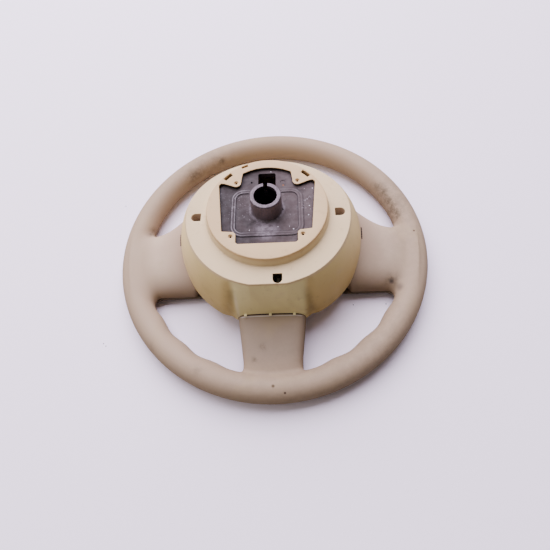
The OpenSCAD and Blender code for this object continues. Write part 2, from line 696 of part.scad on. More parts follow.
module module_plate() {
    color([0.62, 0.63, 0.65]) difference() {
        union() {
            translate([0, 0, z_plate_low]) linear_extrude(module_t) plate_outline();
            translate([0, 0, z_plate_low - hook_rim_h]) difference() {
                cylinder(r = pad_wall_r + 2.2, h = hook_rim_h + lap, $fn = 96);
                translate([0, 0, -over])
                    cylinder(r = pad_wall_r + 0.4, h = hook_rim_h + 3, $fn = 96);
            }
        }
        translate([0, 0, z_plate_low - over]) cylinder(d = inflator_d + 2 * seat, h = 6);
        stud_places() translate([0, 0, z_plate_low - over]) cylinder(d = stud_d + 2 * seat, h = 6);
        for (i = [0:2]) at_latch(i) translate([pin_reach, 0, z_plate_low - over])
            cylinder(r = pin_d / 2 - 1, h = 6);
        for (k = [0:hook_n - 1]) rotate(360 * (k + 0.5) / hook_n)
            translate([pad_wall_r - 2, -hook_len / 2 - 0.5, z_plate_low - 7.5])
            cube([6, hook_len + 1, 4]);
    }
}

module inflator() {
    r = inflator_d / 2;
    flange_r = stud_ring_d / 2 + stud_d;
    color([0.70, 0.71, 0.73]) difference() {
        rotate_extrude() polygon(concat([[0, z_module - inflator_dip]],
            arc(r - 4, z_module - inflator_dip + 4, 4, -90, 0, 4),
            [[r, z_module], [flange_r, z_module], [flange_r, z_module + 2], [r - 1, z_module + 2]],
            arc(r - 5, z_module + inflator_rise - 4, 4, 0, 90, 4), [[0, z_module + inflator_rise]]));
        stud_places() translate([0, 0, z_module - over]) cylinder(d = stud_d + 2 * seat, h = 6);
        translate([0, 0, z_module + inflator_rise - 6]) cylinder(r = 7, h = 7);
    }
}

module inflator_nuts() {
    color("silver") stud_places() translate([0, 0, z_module + 2]) difference() {
        cylinder(d = stud_d * 1.95, h = 4, $fn = 6);
        translate([0, 0, -over]) cylinder(d = stud_d + 0.1, h = 6, $fn = 24);
    }
}

stud_len = 12;
module retainer_ring() {
    top = z_plate_low - seat;
    color([0.55, 0.55, 0.57]) {
        translate([0, 0, top - 2]) difference() {
            cylinder(r = stud_ring_d / 2 + stud_d, h = 2);
            translate([0, 0, -over]) cylinder(d = inflator_d + 3, h = 4);
        }
        stud_places() translate([0, 0, top - lap]) cylinder(d = stud_d, h = lap + stud_len);
    }
}

module folded_bag() {
    r = pad_wall_r - pad_t - seat;
    low = z_pad + pad_t + pad_crown + 1;
    top = z_plate_low - 2 * seat - 2;
    hole = inflator_d / 2 + 1;
    color([0.93, 0.92, 0.90]) rotate_extrude() polygon([[0, low], [r - 4, low], [r, low + 5],
        [r, top - 5], [r - 4, top], [hole, top], [hole, z_module - inflator_dip - seat],
        [0, z_module - inflator_dip - seat]]);
}

module hook_pin(i) {
    r = pin_d / 2;
    notch_low = z_wire - wire_d / 2 - horn_travel - 2 * seat;
    notch_top = z_wire + wire_d / 2 + seat;
    color([0.66, 0.66, 0.68]) at_latch(i) translate([pin_reach, 0, 0]) difference() {
        rotate_extrude($fn = 40) polygon([[0, z_plate_low], [r - 1, z_plate_low], [r - 1, z_module],
            [foot_r, z_module], [foot_r, z_module + foot_t], [r, z_module + foot_t],
            [r, notch_top + 2], [r - 1.6, notch_top + 5.5], [0, notch_top + 5.5]]);
        translate([r - wire_d / 2 - 1 - seat, -r - over, notch_low])
            cube([pin_d, pin_d + 2 * over, notch_top - notch_low]);
    }
}

module guide_bush(i) {
    color([0.9, 0.9, 0.86]) at_latch(i) translate([pin_reach, 0, 0]) rotate_extrude($fn = 48)
        polygon([[bush_bore, z_land - web_t - 1.5], [bush_r, z_land - web_t - 1.5], [bush_r, z_land],
            [bush_lip_r, z_land], [bush_lip_r, z_land + bush_lip_t],
            [bush_bore, z_land + bush_lip_t]]);
}

// Hairpin of round wire: one leg passes through the pin's notch, the other shows in the release hole
module latch_spring(i) {
    color([0.35, 0.34, 0.33]) at_latch(i) translate([lug_reach, 0, z_wire]) {
        translate([0, -wire_half, 0]) rotate(180)
            rotate_extrude(angle = 180) translate([wire_loop, 0]) circle(d = wire_d, $fn = 24);
        for (s = [-1, 1]) translate([s * wire_loop, -wire_half, 0]) rotate([-90, 0, 0])
            cylinder(d = wire_d, h = 2 * wire_half + 2, $fn = 24);
    }
}

// Compression spring between the pin's foot and the underside of its land
module horn_spring(i) {
    low = z_module + foot_t + seat + coil_wire_d / 2;
    high = z_land - web_t - seat - coil_wire_d / 2;
    turn = 12;
    rings = coil_turns * turn;
    rise = high - low;
    loops = [for (k = [0:rings]) let (a = 360 * k / turn, s = k / rings,
        h = low + rise * (s < 0.5 ? pow(2 * s, 1.15) / 2 : 1 - pow(2 - 2 * s, 1.15) / 2))
        [for (j = [0:5]) let (b = -60 * j, r = coil_r + coil_wire_d / 2 * cos(b))
            [r * cos(a), r * sin(a), h + coil_wire_d / 2 * sin(b)]]];
    color([0.5, 0.5, 0.52]) at_latch(i) translate([pin_reach, 0, 0]) loft(loops);
}

armature();
splined_boss();
rim_skin();
rear_cover();
cover_screws();
front_bezel();
pad_cover();
module_plate();
inflator();
inflator_nuts();
retainer_ring();
folded_bag();
hook_pin(0);  // hook_pin_right
hook_pin(1);  // hook_pin_left
hook_pin(2);  // hook_pin_lower
guide_bush(0);  // guide_bush_right
guide_bush(1);  // guide_bush_left
guide_bush(2);  // guide_bush_lower
latch_spring(0);  // latch_spring_right
latch_spring(1);  // latch_spring_left
latch_spring(2);  // latch_spring_lower
horn_spring(0);  // horn_spring_right
horn_spring(1);  // horn_spring_left
horn_spring(2);  // horn_spring_lower
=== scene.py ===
"""Looks of a car steering wheel that lies face down, built round its CAD frame.

The foam grip, the moulded rear cover, the horn pad and the horn springs are modelled again here with
smooth surfaces. Every other piece is the CAD node itself with a finish. Shapes are worked out in
millimetres in the row frame (+Z toward the steering column, -Y toward the lower spoke) and stored in
metres.
"""

import json
import logging
import math
from collections.abc import Callable, Sequence
from dataclasses import dataclass
from enum import Enum

import bpy
import numpy as np
import openvdb
from mathutils import Matrix, Vector
from mathutils.geometry import delaunay_2d_cdt

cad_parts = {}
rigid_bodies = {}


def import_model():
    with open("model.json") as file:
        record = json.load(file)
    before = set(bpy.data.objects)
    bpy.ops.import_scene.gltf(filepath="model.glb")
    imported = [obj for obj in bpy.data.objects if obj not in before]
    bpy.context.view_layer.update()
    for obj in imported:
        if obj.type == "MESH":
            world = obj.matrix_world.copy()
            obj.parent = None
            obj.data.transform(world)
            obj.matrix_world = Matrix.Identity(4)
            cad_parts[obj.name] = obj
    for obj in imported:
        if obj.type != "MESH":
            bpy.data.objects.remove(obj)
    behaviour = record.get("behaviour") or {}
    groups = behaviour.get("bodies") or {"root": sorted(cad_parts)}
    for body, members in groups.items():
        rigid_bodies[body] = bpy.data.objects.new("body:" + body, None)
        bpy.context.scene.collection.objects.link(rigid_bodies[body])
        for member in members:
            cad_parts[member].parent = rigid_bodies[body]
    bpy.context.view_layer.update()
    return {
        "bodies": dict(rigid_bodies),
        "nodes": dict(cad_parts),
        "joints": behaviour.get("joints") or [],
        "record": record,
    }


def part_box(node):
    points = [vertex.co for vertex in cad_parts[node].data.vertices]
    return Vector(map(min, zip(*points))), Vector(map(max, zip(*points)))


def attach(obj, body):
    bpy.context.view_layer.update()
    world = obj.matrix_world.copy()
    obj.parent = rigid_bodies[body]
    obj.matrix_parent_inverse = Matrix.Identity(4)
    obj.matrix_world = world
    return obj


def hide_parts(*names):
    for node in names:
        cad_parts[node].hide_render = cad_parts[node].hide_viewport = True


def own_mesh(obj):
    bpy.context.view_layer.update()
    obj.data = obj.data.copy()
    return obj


MM = 0.001
LOG = logging.getLogger("steering_wheel")

Array = np.ndarray
Node = bpy.types.Node
Socket = bpy.types.NodeSocket


class Side(Enum):
    """The spoke that a repeated piece belongs to."""

    RIGHT = "right"
    LEFT = "left"
    LOWER = "lower"


class Body(Enum):
    """The two bodies of the part, which the horn press moves against each other."""

    WHEEL = "wheel"
    PAD_MODULE = "pad_module"


# Sizes


@dataclass(frozen=True)
class Sizes:
    """Sizes in millimetres, most of them those of the CAD source under the same names."""

    rim_r: float = 170.0
    grip_w: float = 30.0
    grip_h: float = 33.0
    z_rim: float = -109.5
    z_front: float = -114.5
    z_skirt: float = -97.5
    z_seam: float = -83.5
    z_flange: float = -29.5
    z_disc: float = -18.7
    z_floor: float = -126.0
    z_pad: float = -121.5
    swell_h: float = 2.0
    swell_n: int = 3
    swell_from: float = 27.0
    swell_to: float = 73.0
    spoke_front: float = 5.0
    spoke_hub_r: float = 100.0
    spoke_inner_r: float = 87.0
    side_rise: float = 44.0
    side_low: float = 58.0
    side_high: float = 46.0
    side_high_rim: float = 25.0
    side_tilt: float = 0.35
    side_flare: float = 15.0
    side_top_flare: float = 8.0
    low_rise: float = 31.0
    low_rise_rim: float = 14.0
    low_half: float = 38.8
    low_half_rim: float = 31.0
    low_flare: float = 5.0
    flare_reach: float = 26.0
    seam_gap: float = 0.5
    disc_d: float = 128.8
    cover_t: float = 2.6
    skirt_t: float = 2.5
    flange_half: float = 88.5
    flange_top: float = 72.4
    skirt_half: float = 105.0
    skirt_low: float = 102.0
    skirt_top: float = 94.0
    tuck_r: float = 91.0
    tuck_wall: float = 3.5
    flat_dist: float = 86.4
    flat_flare: float = 7.6
    lip_t: float = 0.9
    lip_w: float = 1.2
    screw_hole_d: float = 4.2
    upper_tab: tuple[float, float] = (33.4, 33.5)
    lower_tab: tuple[float, float] = (37.1, -35.8)
    chute_wall: float = 1.4
    chute_len: float = 9.4
    pad_r: float = 84.0
    pad_wall_r: float = 74.0
    pad_t: float = 3.0
    pad_crown: float = 3.0


S = Sizes()


# Small functions on arrays


def lerp(a: Array | float, b: Array | float, t: Array | float) -> Array | float:
    """The value a share t of the way from a to b."""
    return a + (b - a) * t


def ease(t: Array) -> Array:
    """Smooth step from 0 to 1, flat at both ends."""
    c = np.clip(t, 0.0, 1.0)
    return c * c * (3.0 - 2.0 * c)


def smooth_min(a: Array, b: Array, k: float) -> Array:
    """Lower of a and b, rounded over a width of k where they are about equal."""
    h = np.clip(0.5 + 0.5 * (b - a) / k, 0.0, 1.0)
    return b + (a - b) * h - k * h * (1.0 - h)


def smooth_max(a: Array, b: Array, k: float) -> Array:
    """Higher of a and b, rounded over a width of k where they are about equal."""
    return -smooth_min(-a, -b, k)


def arc(x: float, y: float, r: float, start: float, end: float, n: int) -> list[tuple[float, float]]:
    """Points on a circle from the start to the end angle, in degrees."""
    turn = np.radians(np.linspace(start, end, n + 1))
    return list(zip(x + r * np.cos(turn), y + r * np.sin(turn)))


def rounded(outline: Sequence[tuple[float, float]], radius: float, steps: int = 5) -> Array:
    """A closed outline with its sharp corners rounded.

    Args:
        outline: corners and points of the outline, in order.
        radius: rounding radius, lessened where the sides are too short for it.
        steps: spans on each rounding.

    Returns:
        Points of the rounded outline.
    """
    p = np.array(outline, float)
    made = []
    for before, here, after in zip(np.roll(p, 1, 0), p, np.roll(p, -1, 0)):
        u, v = before - here, after - here
        lu, lv = np.linalg.norm(u), np.linalg.norm(v)
        u, v = u / lu, v / lv
        half = math.acos(float(np.clip(u @ v, -1.0, 1.0))) / 2.0
        if half > math.radians(78.0):
            made.append(here)
            continue
        cut = min(radius / math.tan(half), 0.42 * min(lu, lv))
        a, b = here + u * cut, here + v * cut
        for t in np.linspace(0.0, 1.0, steps + 1):
            made.append((1 - t) ** 2 * a + 2 * t * (1 - t) * here + t * t * b)
    return np.array(made)


def offset(outline: Array, by: float) -> Array:
    """The closed outline moved outward by a distance, for outlines that turn to the left.

    Each point moves along the middle of its two sides' normals, by the distance over the cosine of half
    the turn.

    Args:
        outline: points of the outline.
        by: distance in millimetres.

    Returns:
        The moved points.
    """
    side = np.roll(outline, -1, 0) - outline
    side /= np.maximum(np.linalg.norm(side, axis=1, keepdims=True), 1e-9)
    normal = np.stack([side[:, 1], -side[:, 0]], 1)
    both = normal + np.roll(normal, 1, 0)
    scale = np.maximum((both * np.roll(normal, 1, 0)).sum(1, keepdims=True), 0.5)
    return outline + by * both / scale


def turning_left(outline: Array) -> Array:
    """The outline in the order that turns to the left.

    Args:
        outline: points of a closed outline.

    Returns:
        The same points, reversed where their signed area is negative.
    """
    x, y = outline[:, 0], outline[:, 1]
    area = (x * np.roll(y, -1) - y * np.roll(x, -1)).sum()
    return outline if area > 0 else outline[::-1]


def inside(points: Array, outline: Array) -> Array:
    """Which of the points lie inside a closed outline.

    A point is inside when a line from it to the right crosses the outline an odd number of times.

    Args:
        points: the points.
        outline: points of the outline.

    Returns:
        True for each point that is inside.
    """
    x, y = points[:, :1], points[:, 1:2]
    a, b = outline, np.roll(outline, -1, 0)
    spans = (a[:, 1] > y) != (b[:, 1] > y)
    rise = np.where(b[:, 1] == a[:, 1], 1e-12, b[:, 1] - a[:, 1])
    return (spans & (x < (b[:, 0] - a[:, 0]) * (y - a[:, 1]) / rise + a[:, 0])).sum(1) % 2 == 1


# Meshes


class Surface:
    """Collects patches of one piece, in millimetres, and welds them into a mesh."""

    def __init__(self, name: str) -> None:
        """Starts an empty surface.

        Args:
            name: name of its object and mesh.
        """
        self.name = name
        self.points: list[Array] = []
        self.faces: list[tuple[int, ...]] = []
        self.count = 0

    def add(self, points: Array, faces: Sequence[Sequence[int]]) -> None:
        """Adds points with faces that count from the first of them.

        Args:
            points: the points, in millimetres.
            faces: faces as numbers of these points.
        """
        self.points.append(np.asarray(points, float))
        self.faces += [tuple(int(i) + self.count for i in face) for face in faces]
        self.count += len(points)

    def grid(self, rows: Array, closed: bool = False, flip: bool = False) -> None:
        """Adds a sheet of quads.

        Args:
            rows: points of shape (rows, columns, 3). The normal is row direction x column direction.
            closed: whether the last column joins the first.
            flip: whether the sheet faces the other way.
        """
        m, n = rows.shape[:2]
        index = np.arange(m * n).reshape(m, n)
        right = np.roll(index, -1, 1) if closed else index[:, 1:]
        left = index if closed else index[:, :-1]
        quads = np.stack([left[:-1], left[1:], right[1:], right[:-1]], -1).reshape(-1, 4)
        self.add(rows.reshape(-1, 3), quads[:, ::-1] if flip else quads)

    def plate(self, outline: Array, holes: Sequence[Array], z: float, down: bool = False) -> None:
        """Adds a flat face with holes, at a level.

        Args:
            outline: outer edge.
            holes: edges of the holes.
            z: level of the face.
            down: whether it faces down.
        """
        loops = [outline, *holes]
        flat = np.concatenate(loops)
        edges, start = [], 0
        for loop in loops:
            n = len(loop)
            edges += [(start + i, start + (i + 1) % n) for i in range(n)]
            start += n
        made, _, faces, *_ = delaunay_2d_cdt([Vector(p) for p in flat], edges, [], 1, 1e-6)
        points = np.array([tuple(p) for p in made])
        faces = [tuple(f) for f in faces]
        middles = np.array([points[list(f)].mean(0) for f in faces])
        keep = inside(middles, outline)
        for hole in holes:
            keep &= ~inside(middles, hole)
        kept = []
        for face, good in zip(faces, keep):
            if good:
                a, b, c = (points[i] for i in face[:3])
                up = (b[0] - a[0]) * (c[1] - a[1]) - (b[1] - a[1]) * (c[0] - a[0]) > 0
                kept.append(face if up != down else face[::-1])
        self.add(np.column_stack([points, np.full(len(points), z)]), kept)

    def hole_wall(self, outline: Array, top: float, low: float, radius: float = 0.5) -> None:
        """Adds the wall of a hole, rounded at its upper edge. offset(outline, radius) is its rim.

        Args:
            outline: the hole's outline below the rounding.
            top: level of its rim.
            low: level of its lower end.
            radius: radius of the rounding.
        """
        turn = np.radians([0.0, 22.5, 45.0, 67.5, 90.0])
        rows = [np.column_stack([offset(outline, radius * (1 - math.sin(a))),
                                 np.full(len(outline), top - radius * (1 - math.cos(a)))]) for a in turn]
        rows.append(np.column_stack([outline, np.full(len(outline), low)]))
        self.grid(np.array(rows), closed=True, flip=True)

    def lathe(self, profile: Sequence[tuple[float, float]], n: int = 144) -> None:
        """Adds a body of revolution. The profile is (radius, level), with the solid on its left.

        Args:
            profile: points as (radius, level).
            n: number of steps round the axis.
        """
        p = np.array(profile, float)
        turn = np.linspace(0.0, 2.0 * math.pi, n, endpoint=False)
        rows = np.stack([p[:, :1] * np.cos(turn), p[:, :1] * np.sin(turn),
                         np.repeat(p[:, 1:], n, 1)], -1)
        self.grid(rows, closed=True, flip=True)

    def box(self, low: Sequence[float], high: Sequence[float]) -> None:
        """Adds a block between two corners.

        Args:
            low: lowest corner.
            high: highest corner.
        """
        corners = np.array([[(low, high)[i][0], (low, high)[j][1], (low, high)[k][2]]
                            for i in (0, 1) for j in (0, 1) for k in (0, 1)], float)
        self.add(corners, [(0, 1, 3, 2), (4, 6, 7, 5), (0, 4, 5, 1), (2, 3, 7, 6), (0, 2, 6, 4),
                           (1, 5, 7, 3)])

    def build(self, sharp: float = 40.0) -> bpy.types.Object:
        """Makes the object. Edges that turn by more than sharp degrees stay sharp.

        Points that fall together within 0.0001 mm are welded.

        Args:
            sharp: angle in degrees above which an edge stays sharp.

        Returns:
            The object, at the origin.
        """
        mesh = bpy.data.meshes.new(self.name)
        points = np.concatenate(self.points)
        keys, inverse = np.unique(np.round(points, 4), axis=0, return_inverse=True)
        inverse = inverse.reshape(-1)
        faces = []
        for face in self.faces:
            loop = [int(inverse[i]) for i in face]
            loop = [a for k, a in enumerate(loop) if a != loop[k - 1]]
            if len(loop) > 2 and len(set(loop)) == len(loop):
                faces.append(loop)
        mesh.from_pydata((keys * MM).tolist(), [], faces)
        mesh.validate()
        mesh.shade_smooth()
        mesh.set_sharp_from_angle(angle=math.radians(sharp))
        made = bpy.data.objects.new(self.name, mesh)
        bpy.context.scene.collection.objects.link(made)
        LOG.info("%s: %d faces", self.name, len(mesh.polygons))
        return made


def gradient(distance: Callable[[Array], Array], points: Array, step: float = 0.05) -> Array:
    """Slope of a distance function at the points, by central differences.

    Args:
        distance: the function.
        points: where the slope is wanted, of shape (count, 3).
        step: distance to both sides at which the function is read.

    Returns:
        The slope along each axis at each point.
    """
    out = np.empty_like(points)
    for axis in range(3):
        shift = np.zeros(3)
        shift[axis] = step
        out[:, axis] = (distance(points + shift) - distance(points - shift)) / (2 * step)
    return out


def from_distance(name: str, distance: Callable[[Array], Array], low: Sequence[float],
                  high: Sequence[float], voxel: float) -> bpy.types.Object:
    """Makes the surface on which a distance function is zero.

    Args:
        name: name of the object.
        distance: signed distance in millimetres at points of shape (..., 3), negative inside.
        low: lowest corner of the block that is searched.
        high: highest corner of that block.
        voxel: spacing of the search, about the size of the faces.

    Returns:
        The object, its vertices moved onto the surface itself.
    """
    low = np.array(low, float)
    axes = [np.arange(a, b + voxel, voxel) for a, b in zip(low, high)]
    field = np.empty([len(a) for a in axes], np.float32)
    for i, x in enumerate(axes[0]):
        y, z = np.meshgrid(axes[1], axes[2], indexing="ij")
        field[i] = distance(np.stack([np.full_like(y, x), y, z], -1))
    grid = openvdb.FloatGrid(3.0 * voxel)
    grid.copyFromArray(np.clip(field, -3.0 * voxel, 3.0 * voxel))
    points, _, quads = grid.convertToPolygons(isovalue=0.0, adaptivity=0.0)
    points = points.astype(float) * voxel + low
    for _ in range(3):
        slope = gradient(distance, points)
        square = np.maximum((slope**2).sum(1, keepdims=True), 0.05)
        step = distance(points)[:, None] * slope / square
        points -= np.clip(step, -0.5 * voxel, 0.5 * voxel)
    mesh = bpy.data.meshes.new(name)
    mesh.vertices.add(len(points))
    mesh.vertices.foreach_set("co", (points * MM).astype(np.float32).ravel())
    mesh.loops.add(quads.size)
    mesh.loops.foreach_set("vertex_index", quads.astype(np.int32).ravel())
    mesh.polygons.add(len(quads))
    mesh.polygons.foreach_set("loop_start", np.arange(0, quads.size, 4, dtype=np.int32))
    mesh.update(calc_edges=True)
    mesh.validate()
    mesh.shade_smooth()
    made = bpy.data.objects.new(name, mesh)
    bpy.context.scene.collection.objects.link(made)
    LOG.info("%s: %d faces from the distance field", name, len(quads))
    return made


# Spokes and foam skin


@dataclass(frozen=True)
class Spokes:
    """Sections of the side spokes and the lower spoke, as functions of the distance r from the axis.

    A section is an arch |across/half|^power + (up/height)^power = 1.
    """

    side_power: float = 2.5
    low_bends: tuple[float, float] = (0.13, 0.57)
    hub_fall: float = 1.6
    narrow_share: float = 0.64
    crown_drop: float = 0.3

    def hub_share(self, r: Array) -> Array:
        """1 where a side spoke leaves the hub, falling to 0 at the rim."""
        return np.clip(1 - (r - S.spoke_hub_r) / (S.rim_r - S.spoke_hub_r), 0, 1) ** self.hub_fall

    @staticmethod
    def flare(r: Array) -> Array:
        """0 along a spoke, rising to 1 where it runs out into the rim."""
        return ease((r - S.rim_r + S.flare_reach) / S.flare_reach)

    def side_edges(self, r: Array) -> tuple[Array, Array]:
        """Lower and upper edge of a side spoke.

        The spoke narrows with the square of the way to its narrowest place, and flares at the rim.

        Args:
            r: distances from the axis.

        Returns:
            The Y of the lower edge and of the upper edge.
        """
        flare = self.flare(r)
        run = self.narrow_share * (S.rim_r - S.spoke_hub_r)
        narrowing = np.clip(1 - (r - S.spoke_hub_r) / run, 0, 1) ** 2
        low = -S.side_low - S.side_flare * flare
        high = S.side_high_rim + S.side_top_flare * flare + (S.side_high - S.side_high_rim) * narrowing
        return low, high

    def side_height(self, r: Array, y: Array) -> Array:
        """Height of a side spoke's dome above its front face, sloped toward the lower edge.

        Args:
            r: distances from the axis.
            y: places across the spoke.

        Returns:
            The height at the crown, plus a slope times the distance from the spoke's middle line.
        """
        low, high = self.side_edges(r)
        share = self.hub_share(r)
        crown = lerp(S.spoke_front + S.grip_h / 2 - self.crown_drop, S.side_rise, share)
        return crown + S.side_tilt * share * (y - (low + high) / 2)

    @staticmethod
    def low_share(r: Array) -> Array:
        """0 where the lower spoke leaves the hub, rising to 1 at the rim."""
        return np.clip((r - S.spoke_inner_r) / (S.rim_r - S.grip_w / 2 - S.spoke_inner_r), 0, 1)

    def low_half(self, r: Array) -> Array:
        """Half width of the lower spoke."""
        return lerp(S.low_half, S.low_half_rim, self.low_share(r)) + S.low_flare * self.flare(r)

    def low_height(self, r: Array) -> Array:
        """Height of the lower spoke above its front face."""
        return lerp(S.low_rise, S.low_rise_rim, self.low_share(r))

    def low_bend(self, r: Array) -> Array:
        """Exponent of the lower spoke's section, squarer toward the hub."""
        return lerp(*self.low_bends, self.low_share(r))


SPOKES = Spokes()


def arch_distance(across: Array, up: Array, half: Array, height: Array,
                  power: Array | float) -> Array:
    """About the distance to an arch |across/half|^power + (up/height)^power = 1.

    The arch's own measure less 1 is divided by its steepness.

    Args:
        across: place across the arch.
        up: height above its foot.
        half: half its width.
        height: its height.
        power: 2 for an ellipse, more for a squarer arch.

    Returns:
        The distance, negative under the arch.
    """
    u = np.abs(across) / half + 1e-6
    v = np.maximum(up, 0.0) / height + 1e-6
    size = (u**power + v**power) ** (1 / power)
    steep = np.hypot((u / size) ** (power - 1) / half, (v / size) ** (power - 1) / height)
    return (size - 1) / steep


@dataclass(frozen=True)
class Foam:
    """The foam skin over the rim and the spokes, as the zero of one distance function."""

    voxel: float = 1.55
    corner: tuple[float, float] = (88.5, -54.0)
    corner_slope: float = 0.8
    corner_round: float = 1.5
    front_round: float = 3.0
    side_fillet: float = 7.0
    low_fillet: float = 4.5
    least_height: float = 4.0
    margin: float = 3.0

    @staticmethod
    def grip(p: Array) -> Array:
        """Distance to the rim: an oval section, with finger swells on its lower inner side.

        Args:
            p: points of shape (..., 3), in millimetres.

        Returns:
            The distance, negative inside.
        """
        r = np.hypot(p[..., 0], p[..., 1])
        a = np.degrees(np.arctan2(p[..., 1], p[..., 0]))
        from_low = np.abs((a + 90 + 180) % 360 - 180)
        t = (90 - S.swell_from - from_low) / (S.swell_to - S.swell_from)
        swell = np.where((t > 0) & (t < 1), S.swell_h * np.sin(np.pi * S.swell_n * t) ** 2, 0.0)
        q, z = r - S.rim_r, p[..., 2] - S.z_rim
        inner = np.maximum(-q / np.maximum(np.hypot(q, z), 1e-3), 0.0)
        q = q + swell * inner**2
        k0 = np.hypot(q / (S.grip_w / 2), z / (S.grip_h / 2))
        k1 = np.hypot(q / (S.grip_w / 2) ** 2, z / (S.grip_h / 2) ** 2)
        return k0 * (k0 - 1) / np.maximum(k1, 1e-6)

    def side_spoke(self, p: Array) -> Array:
        """Distance to both side spokes, which mirror each other. Their lower hub corner is cut off.

        Args:
            p: points of shape (..., 3), in millimetres.

        Returns:
            The distance, negative inside.
        """
        r = np.hypot(p[..., 0], p[..., 1])
        rc = np.clip(r, S.spoke_inner_r, S.rim_r)
        low, high = SPOKES.side_edges(rc)
        height = np.maximum(SPOKES.side_height(rc, p[..., 1]), self.least_height)
        body = arch_distance(p[..., 1] - (low + high) / 2, p[..., 2] - S.z_front, (high - low) / 2,
                             height, SPOKES.side_power)
        body = smooth_max(body, S.z_front - p[..., 2], self.front_round)
        body = np.maximum(np.maximum(body, S.spoke_inner_r - r), r - S.rim_r)
        x, y = self.corner
        past = x + self.corner_slope * (y - p[..., 1]) - np.abs(p[..., 0])
        return smooth_max(body, past / math.hypot(1, self.corner_slope), self.corner_round)

    def low_spoke(self, p: Array) -> Array:
        """Distance to the lower spoke.

        Args:
            p: points of shape (..., 3), in millimetres.

        Returns:
            The distance, negative inside.
        """
        r = np.hypot(p[..., 0], p[..., 1])
        rc = np.clip(r, S.spoke_inner_r, S.rim_r)
        body = arch_distance(p[..., 0], p[..., 2] - S.z_front, SPOKES.low_half(rc),
                             SPOKES.low_height(rc), 2 / SPOKES.low_bend(rc))
        body = smooth_max(body, S.z_front - p[..., 2], self.front_round)
        body = np.maximum(np.maximum(body, S.spoke_inner_r - r), r - S.rim_r)
        far_off = 50.0
        return np.where(p[..., 1] > 0, far_off, body)

    def distance(self, p: Array) -> Array:
        """Distance to the whole skin, the spokes running into the rim with small fillets.

        Args:
            p: points of shape (..., 3), in millimetres.

        Returns:
            The distance, negative inside.
        """
        made = smooth_min(self.grip(p), self.side_spoke(p), self.side_fillet)
        return smooth_min(made, self.low_spoke(p), self.low_fillet)

    def build(self) -> bpy.types.Object:
        """Makes the skin.

        Returns:
            The skin.
        """
        reach = S.rim_r + S.grip_w / 2 + self.margin
        room_over_dome = 14.0
        return from_distance("foam_grip", self.distance, (-reach, -reach, S.z_floor - self.margin),
                             (reach, reach, S.z_front + S.side_rise + room_over_dome), self.voxel)

    def dress(self, piece: bpy.types.Object, wheel: "Wheel") -> None:
        """Soils the skin and gives it its finish."""
        soil_and_shade(piece, FOAM_DIRT_AND_SHADE)
        wheel.stand_in(piece, "rim_skin", Body.WHEEL)


# Rear cover


# Once round a circle of radius 1, in as many steps as a lathed wall has
RING = np.array(arc(0, 0, 1.0, 0, 360, 144)[:-1])


